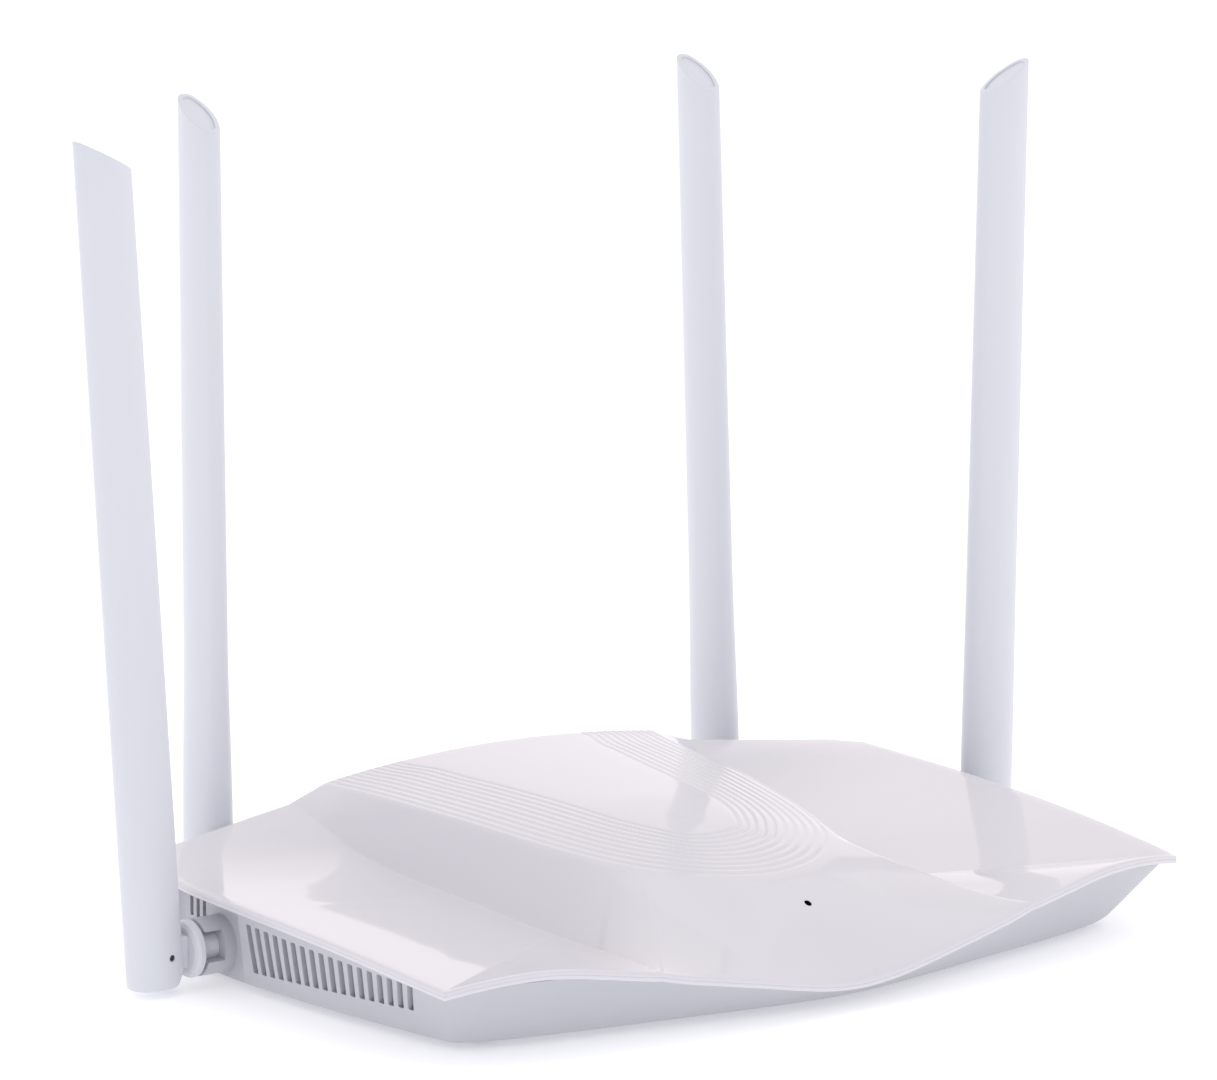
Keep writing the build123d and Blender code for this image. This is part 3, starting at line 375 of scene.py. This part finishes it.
for _ in range(24):
    mean = (level[:, :-2] * gap_out + level[:, 2:] * gap_in) / (gap_in + gap_out)
    level[:, 1:-1] += 0.5 * soft[:, 1:-1] * (mean - level[:, 1:-1])

top_idx = [[put(x, y, level[i, k] + grooved[i, k]) for k, (x, y) in enumerate(line)] for i, line in enumerate(lines)]
under_cols = list(range(0, 13, 3)) + list(range(13, N_COLS, 6))
under_cols = sorted(set(under_cols + [N_COLS - 5]))
under_idx = [[put(lines[i][k][0], lines[i][k][1], level[i, k] - SKIN) for k in under_cols] for i in range(n_lines)]


def grid(idx, flip):
    for a, b in zip(idx[:-1], idx[1:]):
        for k in range(len(a) - 1):
            q = (a[k], a[k + 1], b[k + 1], b[k])
            cover_f.append(q[::-1] if flip else q)


grid(top_idx, False)
grid(under_idx, True)

# the boundary loop of the top surface: rear edge from left to right is closed by both rear lines
rim_top = [line[-1] for line in lines]
loop_top = [row[-1] for row in top_idx]
loop_und = [row[-1] for row in under_idx]
pts = list(rim_top)
# rear edge, from the right rear corner back to the left one
rear_right = list(range(N_COLS - 2, 0, -1))
rear_left = list(range(0, N_COLS - 1))
loop_top += [top_idx[-1][k] for k in rear_right] + [top_idx[0][k] for k in rear_left]
pts += [lines[-1][k] for k in rear_right] + [lines[0][k] for k in rear_left]
und_of = {}
for row, line in ((under_idx[-1], lines[-1]), (under_idx[0], lines[0])):
    for j, k in enumerate(under_cols):
        und_of[(id(line), k)] = row[j]


def near_under(line, k):
    j = min(range(len(under_cols)), key=lambda q: abs(under_cols[q] - k))
    return und_of[(id(line), under_cols[j])]


loop_und += [near_under(lines[-1], k) for k in rear_right] + [near_under(lines[0], k) for k in rear_left]

m = len(pts)
normals = []
for i in range(m):
    p = pts[i]
    a = i - 1
    while math.dist(pts[a], p) < 0.05:
        a -= 1
    b = (i + 1) % m
    while math.dist(pts[b], p) < 0.05:
        b = (b + 1) % m
    ta = (p[0] - pts[a][0], p[1] - pts[a][1])
    tb = (pts[b][0] - p[0], pts[b][1] - p[1])
    la, lb = math.hypot(*ta), math.hypot(*tb)
    tx, ty = ta[0] / la + tb[0] / lb, ta[1] / la + tb[1] / lb
    lt = max(math.hypot(tx, ty), 1e-6)
    cosine = max(0.6, lt / 2)
    normals.append((ty / lt / cosine, -tx / lt / cosine))
# the loop runs left rear, front, right rear: outward is to its right
area = sum(pts[i][0] * pts[(i + 1) % m][1] - pts[(i + 1) % m][0] * pts[i][1] for i in range(m))
turn = 1 if area > 0 else -1
PROFILE = [(-0.46, -0.05), (-0.22, -0.2), (-0.06, -0.42), (0.0, -0.7), (0.0, -1.04), (-0.12, -1.08), (-0.12, -1.16),
           (-0.02, -1.21), (-0.02, -1.95), (-0.22, -2.18)]
previous = loop_top
for k, (off, dz) in enumerate(PROFILE):
    now = []
    for i in range(m):
        d = (INSET + off) * turn
        x, y = pts[i][0] + normals[i][0] * d, pts[i][1] + normals[i][1] * d
        now.append(put(x, y, height(*pts[i], False) + dz))
    for i in range(m):
        j = (i + 1) % m
        cover_f.append((previous[i], previous[j], now[j], now[i]))
    previous = now
for i in range(m):
    j = (i + 1) % m
    face = [previous[i], previous[j], loop_und[j], loop_und[i]]
    if face[2] == face[3]:
        face = face[:3]
    cover_f.append(tuple(face))

cover = make_mesh("cover_shell", cover_v, cover_f, merge=2e-6, smooth_angle=38.0)
# status light hole
hole = prism("hole_tool", [(0.95 * MM * math.cos(2 * math.pi * k / 32), 0.95 * MM * math.sin(2 * math.pi * k / 32))
                           for k in range(32)], -0.01, 0.01)
hole.data.transform(Matrix.Translation((0, LED_Y * MM, 0.022)) @ Matrix.Rotation(math.pi / 2, 4, "X"))
cut(cover, hole)
shade(cover, 38.0)
# painted shade: a short thin-walled near-black sleeve that lines the status-light hole just under the surface,
# standing in for the shade inside the hole
ring_v, ring_f = [], []
RING = [(0.60, -2.0), (0.60, -0.22), (0.68, -0.13), (0.84, -0.11), (0.92, -0.18), (0.92, -2.0)]
for rr, dz in RING:
    for k in range(32):
        a = 2 * math.pi * k / 32
        rx, ry = rr * math.cos(a), LED_Y + rr * math.sin(a)
        ring_v.append((rx * MM, ry * MM, (height(rx, ry, False) + dz + Z0) * MM))
for r_ in range(len(RING)):
    q = (r_ + 1) % len(RING)
    for k in range(32):
        j = (k + 1) % 32
        ring_f.append((r_ * 32 + k, r_ * 32 + j, q * 32 + j, q * 32 + k))
led_hole_shade_lining = make_mesh("status_light_mouth", ring_v, ring_f)
# screw bosses under the cover
boss_v, boss_f = [], []
for bx, by in ((93.0, -55.0), (-93.0, -55.0), (101.0, 54.0), (-101.0, 54.0)):
    top = height(bx, by, False) - SKIN + 0.5
    prof = [(1.4, top - 0.5), (1.4, 8.5), (1.7, 8.15), (2.9, 8.15), (3.2, 8.45), (3.2, top - 2.0), (3.9, top)]
    base = len(boss_v)
    for rr, zz in prof:
        for k in range(24):
            a = 2 * math.pi * k / 24
            boss_v.append(((bx + rr * math.cos(a)) * MM, (by + rr * math.sin(a)) * MM, (zz + Z0) * MM))
    for r_ in range(len(prof) - 1):
        for k in range(24):
            q = (k + 1) % 24
            boss_f.append((base + r_ * 24 + k, base + r_ * 24 + q, base + (r_ + 1) * 24 + q, base + (r_ + 1) * 24 + k))
bosses = make_mesh("cover_bosses", boss_v, boss_f)


# -------------------------------------------------------------------- antennas
def monotone(rows, z):
    """Smooth values of width, thickness and end radius at height z."""
    out = []
    zs = [r[0] for r in rows]
    for col in (1, 2, 3):
        v = [r[col] for r in rows]
        d = [(v[i + 1] - v[i]) / (zs[i + 1] - zs[i]) for i in range(len(v) - 1)]
        g = [d[0]]
        for i in range(1, len(v) - 1):
            g.append(0.0 if d[i - 1] * d[i] <= 0 else 2 * d[i - 1] * d[i] / (d[i - 1] + d[i]))
        g.append(d[-1])
        i = max(0, min(len(v) - 2, bisect.bisect_right(zs, z) - 1))
        w = zs[i + 1] - zs[i]
        t = (z - zs[i]) / w
        out.append(v[i] * (2 * t ** 3 - 3 * t * t + 1) + g[i] * w * (t ** 3 - 2 * t * t + t)
                   + v[i + 1] * (3 * t * t - 2 * t ** 3) + g[i + 1] * w * (t ** 3 - t * t))
    return out


def oval(w, t, r, n=20):
    """Flattened oval of two crowned sides and two round ends, n steps per arc, from (-x, +y) clockwise."""
    a = w / 2 - r
    big = (a * a + t * t / 4 - r * r) / (t - 2 * r)
    h = big - t / 2
    k = big / (big - r)
    tx, ty = a * k, h * (k - 1)
    half = math.atan2(tx, ty + h)
    end = math.atan2(ty, tx - a)
    pts = []
    for i in range(n):
        q = -half + 2 * half * i / n
        pts.append((big * math.sin(q), big * math.cos(q) - h))
    for i in range(n):
        q = end - 2 * end * i / n
        pts.append((a + r * math.cos(q), r * math.sin(q)))
    for i in range(n):
        q = half - 2 * half * i / n
        pts.append((big * math.sin(q), -(big * math.cos(q) - h)))
    for i in range(n):
        q = end - 2 * end * i / n
        pts.append((-a - r * math.cos(q), -r * math.sin(q)))
    return pts


def tip_z(x, drop):
    return ANT_TOP - TIP_DROP * (ANT_OFF + 7.6 - x) / 15.2 - drop


def column(inset, z_low, top_drop, edge):
    """Closed tube-like solid of the antenna's section, pulled in by inset; edge rounds its two ends."""
    verts, faces = [], []
    zs = [z_low + (22 - z_low) * k / 12 for k in range(12)] + [22 + 43 * k / 16 for k in range(16)]
    zs += [65 + 120 * k / 12 for k in range(13)]
    rings = []

    def add(ring_pts):
        base = len(verts)
        verts.extend((x * MM, y * MM, z * MM) for x, y, z in ring_pts)
        rings.append(base)

    if edge:
        for back in ((1.0, 0.0), (0.62, 0.08), (0.29, 0.29), (0.08, 0.62)):
            w, t, r = monotone(ANT_SECTIONS, z_low)
            o = oval(w - 2 * (inset + edge * back[0]), t - 2 * (inset + edge * back[0]), r - inset - edge * back[0])
            add([(x + ANT_OFF, y, z_low + edge * back[1]) for x, y in o])
    for z in zs:
        zz = z + edge if z == z_low else z
        w, t, r = monotone(ANT_SECTIONS, zz)
        add([(x + ANT_OFF, y, zz) for x, y in oval(w - 2 * inset, t - 2 * inset, r - inset)])
    w, t, r = monotone(ANT_SECTIONS, 200.0)
    tip = oval(w - 2 * inset, t - 2 * inset, r - inset)
    lip = 0.35 if edge else 0.0
    add([(x + ANT_OFF, y, tip_z(x + ANT_OFF, top_drop + lip)) for x, y in tip])
    if edge:
        for back in ((0.08, 0.62), (0.29, 0.29), (0.62, 0.08), (1.0, 0.0)):
            o = oval(w - 2 * (inset + lip * back[0]), t - 2 * (inset + lip * back[0]), r - inset - lip * back[0])
            add([(x + ANT_OFF, y, tip_z(x + ANT_OFF, top_drop + lip * back[1])) for x, y in o])
    n = len(tip)
    for a, b in zip(rings[:-1], rings[1:]):
        for i in range(n):
            j = (i + 1) % n
            faces.append((a + i, a + j, b + j, b + i))
    faces.append(tuple(range(rings[0] + n - 1, rings[0] - 1, -1)))
    faces.append(tuple(range(rings[-1], rings[-1] + n)))
    return make_mesh("column", verts, faces)


def arc(cx, cz, r, a0, a1, n=24):
    return [((cx + r * math.cos(a0 + (a1 - a0) * k / n)) * MM, (cz + r * math.sin(a0 + (a1 - a0) * k / n)) * MM)
            for k in range(n + 1)]


sleeve = column(0.0, -8.0, 0.0, 0.8)
cut(sleeve, column(ANT_WALL, 7.5, -3.0, 0.0))
slot_r = TONGUE_H / 2 + 0.5
slot_w = (TONGUE_T / 2 + SLOT_FIT) * MM
cut(sleeve, prism("slot", [(-0.010, 0.0045), (-0.010, -0.0089), (0.0, -0.0089), (0.0, -slot_r * math.sqrt(2) * MM)]
                  + arc(0, 0, slot_r, -math.pi / 4, math.pi / 2 - 0.01)
                  + [(0.0, 0.0045)], -slot_w, slot_w))
foot_r = PIN_OFF - 0.2
f0, f1 = math.radians(203), math.radians(235)
foot = [(0.001 * foot_r * math.cos(f0 + (f1 - f0) * k / 8), 0.001 * foot_r * math.sin(f0 + (f1 - f0) * k / 8)) for k in range(9)]
foot += [(foot[-1][0] + 0.010 + foot[-1][1], -0.010), (-0.012, -0.010), (-0.012, foot[0][1])]
cut(sleeve, prism("foot", foot, -0.015, 0.015))
cut(sleeve, prism("pin_bore", arc(0, 0, PIN_R, 0, 2 * math.pi * 31 / 32, 31), -0.015, 0.015))
shade(sleeve, 32.0)
sleeve_mesh = sleeve.data
bpy.data.objects.remove(sleeve)


def placed(place):
    if place == "left":
        return Matrix.Translation((-SIDE_PIN * MM, SIDE_Y * MM, HINGE_Z * MM)) @ Matrix.Rotation(math.pi, 4, "Z")
    if place == "right":
        return Matrix.Translation((SIDE_PIN * MM, SIDE_Y * MM, HINGE_Z * MM))
    x = -REAR_X if place == "rear_left" else REAR_X
    return Matrix.Translation((x * MM, REAR_PIN * MM, HINGE_Z * MM)) @ Matrix.Rotation(math.pi / 2, 4, "Z")


LEAN = {"left": (0.0, 3.2), "rear_left": (0.0, 0.0), "rear_right": (-2.0, 0.0), "right": (0.0, 1.0)}
sleeves = {}
for place, (swing, lean) in LEAN.items():
    mesh = sleeve_mesh.copy()
    mesh.transform(placed(place) @ Matrix.Rotation(math.radians(swing), 4, "X") @ Matrix.Rotation(math.radians(lean), 4, "Y"))
    obj = bpy.data.objects.new("antenna_shell_" + place, mesh)
    bpy.context.scene.collection.objects.link(obj)
    sleeves[place] = obj


# ------------------------------------------------------------------- materials
def base(name):
    mat = bpy.data.materials.new(name)
    mat.use_nodes = True
    nt = mat.node_tree
    shader = nt.nodes["Principled BSDF"]
    return mat, nt, shader


def set_(shader, **values):
    for key, value in values.items():
        shader.inputs[key.replace("_", " ")].default_value = value


def plastic(name, colour, rough, scale=900.0, bump=0.02, tint=0.015, rough_var=0.04, ior=1.49, sheen=0.0, sss=0.0,
            distance=0.00008):
    """Moulded plastic: faint tone drift, fine moulding texture and small roughness changes."""
    mat, nt, sh = base(name)
    new = nt.nodes.new
    coord = new("ShaderNodeTexCoord")
    drift = new("ShaderNodeTexNoise")
    drift.inputs["Scale"].default_value = 9.0
    drift.inputs["Detail"].default_value = 3.0
    ramp = new("ShaderNodeMapRange")
    ramp.inputs["To Min"].default_value = 1.0 - tint
    ramp.inputs["To Max"].default_value = 1.0 + tint * 0.5
    mix = new("ShaderNodeVectorMath")
    mix.operation = "SCALE"
    mix.inputs[0].default_value = colour[:3]
    fine = new("ShaderNodeTexNoise")
    fine.inputs["Scale"].default_value = scale
    fine.inputs["Detail"].default_value = 4.0
    rough_map = new("ShaderNodeMapRange")
    rough_map.inputs["To Min"].default_value = max(0.0, rough - rough_var)
    rough_map.inputs["To Max"].default_value = rough + rough_var
    b = new("ShaderNodeBump")
    b.inputs["Strength"].default_value = bump
    b.inputs["Distance"].default_value = distance
    link = nt.links.new
    link(coord.outputs["Object"], drift.inputs["Vector"])
    link(coord.outputs["Object"], fine.inputs["Vector"])
    link(drift.outputs["Fac"], ramp.inputs["Value"])
    link(ramp.outputs["Result"], mix.inputs["Scale"])
    link(mix.outputs["Vector"], sh.inputs["Base Color"])
    link(drift.outputs["Fac"], rough_map.inputs["Value"])
    link(rough_map.outputs["Result"], sh.inputs["Roughness"])
    link(fine.outputs["Fac"], b.inputs["Height"])
    link(b.outputs["Normal"], sh.inputs["Normal"])
    set_(sh, IOR=ior)
    if sheen:
        set_(sh, Sheen_Weight=sheen)
    if sss:
        set_(sh, Subsurface_Weight=sss, Subsurface_Scale=0.002, Subsurface_Radius=(1.0, 0.9, 0.9))
    return mat


def metal(name, colour, rough, scale=400.0, stretch=(1, 1, 20), bump=0.05):
    mat, nt, sh = base(name)
    new = nt.nodes.new
    coord = new("ShaderNodeTexCoord")
    mapping = new("ShaderNodeMapping")
    mapping.inputs["Scale"].default_value = stretch
    noise = new("ShaderNodeTexNoise")
    noise.inputs["Scale"].default_value = scale
    noise.inputs["Detail"].default_value = 5.0
    rough_map = new("ShaderNodeMapRange")
    rough_map.inputs["To Min"].default_value = max(0.02, rough - 0.08)
    rough_map.inputs["To Max"].default_value = rough + 0.08
    tone = new("ShaderNodeMapRange")
    tone.inputs["To Min"].default_value = 0.9
    tone.inputs["To Max"].default_value = 1.05
    mix = new("ShaderNodeVectorMath")
    mix.operation = "SCALE"
    mix.inputs[0].default_value = colour[:3]
    b = new("ShaderNodeBump")
    b.inputs["Strength"].default_value = bump
    b.inputs["Distance"].default_value = 0.00005
    link = nt.links.new
    link(coord.outputs["Object"], mapping.inputs["Vector"])
    link(mapping.outputs["Vector"], noise.inputs["Vector"])
    link(noise.outputs["Fac"], rough_map.inputs["Value"])
    link(rough_map.outputs["Result"], sh.inputs["Roughness"])
    link(noise.outputs["Fac"], tone.inputs["Value"])
    link(tone.outputs["Result"], mix.inputs["Scale"])
    link(mix.outputs["Vector"], sh.inputs["Base Color"])
    link(noise.outputs["Fac"], b.inputs["Height"])
    link(b.outputs["Normal"], sh.inputs["Normal"])
    set_(sh, Metallic=1.0)
    return mat


def clear(name, colour, rough, ior=1.49):
    mat, nt, sh = base(name)
    new = nt.nodes.new
    coord = new("ShaderNodeTexCoord")
    noise = new("ShaderNodeTexNoise")
    noise.inputs["Scale"].default_value = 300.0
    rough_map = new("ShaderNodeMapRange")
    rough_map.inputs["To Min"].default_value = rough * 0.7
    rough_map.inputs["To Max"].default_value = rough * 1.3
    nt.links.new(coord.outputs["Object"], noise.inputs["Vector"])
    nt.links.new(noise.outputs["Fac"], rough_map.inputs["Value"])
    nt.links.new(rough_map.outputs["Result"], sh.inputs["Roughness"])
    set_(sh, Base_Color=(*colour, 1.0), Transmission_Weight=0.85, IOR=ior)
    return mat


def board(name, colour, rough=0.35):
    """Circuit board: faint track pattern under the solder mask."""
    mat, nt, sh = base(name)
    new = nt.nodes.new
    coord = new("ShaderNodeTexCoord")
    brick = new("ShaderNodeTexBrick")
    brick.inputs["Scale"].default_value = 120.0
    brick.inputs["Color1"].default_value = (*colour, 1)
    brick.inputs["Color2"].default_value = (*[c * 1.15 for c in colour], 1)
    brick.inputs["Mortar"].default_value = (*[c * 1.5 + 0.01 for c in colour], 1)
    brick.inputs["Mortar Size"].default_value = 0.03
    noise = new("ShaderNodeTexNoise")
    noise.inputs["Scale"].default_value = 250.0
    bump = new("ShaderNodeBump")
    bump.inputs["Strength"].default_value = 0.1
    bump.inputs["Distance"].default_value = 0.0001
    nt.links.new(coord.outputs["Object"], brick.inputs["Vector"])
    nt.links.new(coord.outputs["Object"], noise.inputs["Vector"])
    nt.links.new(brick.outputs["Color"], sh.inputs["Base Color"])
    nt.links.new(noise.outputs["Fac"], bump.inputs["Height"])
    nt.links.new(bump.outputs["Normal"], sh.inputs["Normal"])
    set_(sh, Roughness=rough)
    return mat


MATERIALS = {
    "gloss_white_shell": plastic("gloss_white_shell", (0.760, 0.738, 0.765), 0.05, bump=0.0, tint=0.004, rough_var=0.005, ior=1.42),
    # housing_white: white plastic whose base colour is set to a darker bluish grey, painted shade of the housing walls
    # under the cover
    "housing_white": plastic("housing_white", (0.545, 0.545, 0.58), 0.42, scale=2500, bump=0.12, tint=0.01),
    "antenna_white": plastic("antenna_white", (0.735, 0.745, 0.785), 0.34, scale=2500, bump=0.05, tint=0.008),
    "hinge_white": plastic("hinge_white", (0.72, 0.73, 0.77), 0.36, scale=2500, bump=0.05, tint=0.01),
    "board_green": board("board_green", (0.02, 0.12, 0.06)),
    "jack_shield": metal("jack_shield", (0.72, 0.72, 0.74), 0.3),
    "black_plastic": plastic("black_plastic", (0.02, 0.02, 0.022), 0.45, bump=0.1),
    "button_grey": plastic("button_grey", (0.35, 0.36, 0.4), 0.4, bump=0.08),
    "chip_black": plastic("chip_black", (0.025, 0.025, 0.028), 0.55, bump=0.15),
    "thermal_grey": plastic("thermal_grey", (0.32, 0.34, 0.38), 0.8, bump=0.2),
    "aluminium_fin": metal("aluminium_fin", (0.76, 0.77, 0.79), 0.35),
    "shield_tin": metal("shield_tin", (0.70, 0.70, 0.70), 0.3),
    "capacitor_can": metal("capacitor_can", (0.55, 0.58, 0.63), 0.35),
    "connector_gold": metal("connector_gold", (0.8, 0.6, 0.25), 0.3),
    "led_lens": clear("led_lens", (0.8, 0.9, 0.85), 0.1),
    # clear_pipe is near black with a low IOR: painted shade, a dark lining that stands in for the shade inside the
    # status-light hole
    "clear_pipe": clear("clear_pipe", (0.008, 0.009, 0.010), 0.55, ior=1.08),
    "screw_steel": metal("screw_steel", (0.5, 0.5, 0.52), 0.35),
    "foot_rubber": plastic("foot_rubber", (0.06, 0.06, 0.065), 0.85, scale=1800, bump=0.4),
    "label_paper": plastic("label_paper", (0.74, 0.74, 0.75), 0.5, bump=0.05),
    "pin_steel": metal("pin_steel", (0.09, 0.09, 0.10), 0.45),
    "radiator_board": board("radiator_board", (0.04, 0.14, 0.08)),
    "coax_black": plastic("coax_black", (0.02, 0.02, 0.02), 0.5, bump=0.15),
    "coax_grey": plastic("coax_grey", (0.12, 0.12, 0.13), 0.5, bump=0.15),
}


def dress(obj, name):
    obj.data.materials.clear()
    obj.data.materials.append(MATERIALS[name])


for row in record["subparts"]:
    obj = nodes[row["node"]]
    obj.data.materials.clear()
    obj.data.materials.append(MATERIALS[row["material_slot"]])

for obj, node in [(cover, "top_cover")]:
    dress(obj, "gloss_white_shell")
    dress(bosses, "gloss_white_shell")
    dress(led_hole_shade_lining, "clear_pipe")
    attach(obj, "housing")
    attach(bosses, "housing")
    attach(led_hole_shade_lining, "housing")
    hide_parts("top_cover")
for place, obj in sleeves.items():
    dress(obj, "antenna_white")
    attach(obj, "antenna_" + place)
    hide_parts("antenna_sleeve_" + place)

# ----------------------------------------------------------------- stage, light
floor_mesh = bpy.data.meshes.new("floor")
R = 14.0
floor_mesh.from_pydata([(-R, -R, 0), (R, -R, 0), (R, R, 0), (-R, R, 0)], [], [(0, 1, 2, 3)])
floor = bpy.data.objects.new("floor", floor_mesh)
bpy.context.scene.collection.objects.link(floor)
mat, nt, sh = base("floor_pale")
set_(sh, Base_Color=(0.93, 0.93, 0.94, 1.0), Roughness=0.9)
sh.inputs["Emission Color"].default_value = (1.0, 1.0, 1.0, 1.0)
sh.inputs["Emission Strength"].default_value = 0.30
floor_mesh.materials.append(mat)
floor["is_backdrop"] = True

world = bpy.data.worlds.new("studio")
bpy.context.scene.world = world
world.use_nodes = True
wt = world.node_tree
bg = wt.nodes["Background"]
coord = wt.nodes.new("ShaderNodeTexCoord")
sep = wt.nodes.new("ShaderNodeSeparateXYZ")
wt.links.new(coord.outputs["Generated"], sep.inputs["Vector"])
# brighter behind the object, softer towards the front and overhead
axis_dot = wt.nodes.new("ShaderNodeVectorMath")
axis_dot.operation = "DOT_PRODUCT"
axis_dot.inputs[1].default_value = (0.59, 0.80, 0.0)
wt.links.new(coord.outputs["Generated"], axis_dot.inputs[0])
ramp = wt.nodes.new("ShaderNodeValToRGB")
ramp.color_ramp.interpolation = "EASE"
ramp.color_ramp.elements[0].position = 0.12
ramp.color_ramp.elements[0].color = (0.70, 0.745, 0.835, 1)
ramp.color_ramp.elements[1].position = 0.88
ramp.color_ramp.elements[1].color = (1.22, 1.17, 1.19, 1)
shift = wt.nodes.new("ShaderNodeMapRange")
shift.inputs["From Min"].default_value = -1.0
shift.inputs["From Max"].default_value = 1.0
wt.links.new(axis_dot.outputs["Value"], shift.inputs["Value"])
wt.links.new(shift.outputs["Result"], ramp.inputs["Fac"])
over = wt.nodes.new("ShaderNodeMapRange")
over.interpolation_type = "SMOOTHSTEP"
over.inputs["From Min"].default_value = 0.2
over.inputs["From Max"].default_value = 0.85
wt.links.new(sep.outputs["Z"], over.inputs["Value"])
sky = wt.nodes.new("ShaderNodeMix")
sky.data_type = "RGBA"
sky.inputs[7].default_value = (0.92, 0.90, 0.92, 1)
wt.links.new(over.outputs["Result"], sky.inputs[0])
wt.links.new(ramp.outputs["Color"], sky.inputs[6])
wt.links.new(sky.outputs[2], bg.inputs["Color"])
bg.inputs["Strength"].default_value = 1.0


def area_light(name, location, target, size, energy, colour=(1, 1, 1)):
    data = bpy.data.lights.new(name, "AREA")
    data.shape = "RECTANGLE"
    data.size, data.size_y = size
    data.energy = energy
    data.color = colour
    obj = bpy.data.objects.new(name, data)
    obj.location = location
    obj.rotation_euler = (Vector(target) - Vector(location)).to_track_quat("-Z", "Y").to_euler()
    bpy.context.scene.collection.objects.link(obj)
    return obj


area_light("top_softbox", (0.15, 0.2, 1.2), (0, 0, 0), (1.3, 1.3), 1.2)

# ---------------------------------------------------------------------- camera
A, TH = 0.6283185307179586, 0.19090527843273233
F_PX, TX, TY, DIST = 6008.051598625045, -11.881530141204768, 101.47342185807, 1564.0257804639157
back_v = Vector((-math.sin(A) * math.cos(TH), -math.cos(A) * math.cos(TH), math.sin(TH)))
right_v = Vector((math.cos(A), -math.sin(A), 0.0))
up_v = back_v.cross(right_v)
position = (right_v * TX + up_v * TY + back_v * DIST + Vector((0, 0, 2.0))) * MM
cam_data = bpy.data.cameras.new("camera")
cam_data.sensor_fit = "HORIZONTAL"
cam_data.sensor_width = 36.0
cam_data.lens = F_PX * 36.0 / 1217.0
cam_data.clip_start, cam_data.clip_end = 0.05, 60.0
camera = bpy.data.objects.new("camera", cam_data)
camera.matrix_world = Matrix((
    (right_v.x, up_v.x, back_v.x, position.x),
    (right_v.y, up_v.y, back_v.y, position.y),
    (right_v.z, up_v.z, back_v.z, position.z),
    (0, 0, 0, 1)))
bpy.context.scene.collection.objects.link(camera)
bpy.context.scene.camera = camera
bpy.context.scene.view_settings.view_transform = "Standard"
bpy.context.scene.view_settings.look = "None"

bounds_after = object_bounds()


def plain(value):
    if isinstance(value, dict):
        return {k: plain(v) for k, v in value.items()}
    if isinstance(value, (int, float, str, bool)) or value is None:
        return value
    return [plain(v) for v in value]


{"before": plain(bounds_before), "after": plain(bounds_after)}
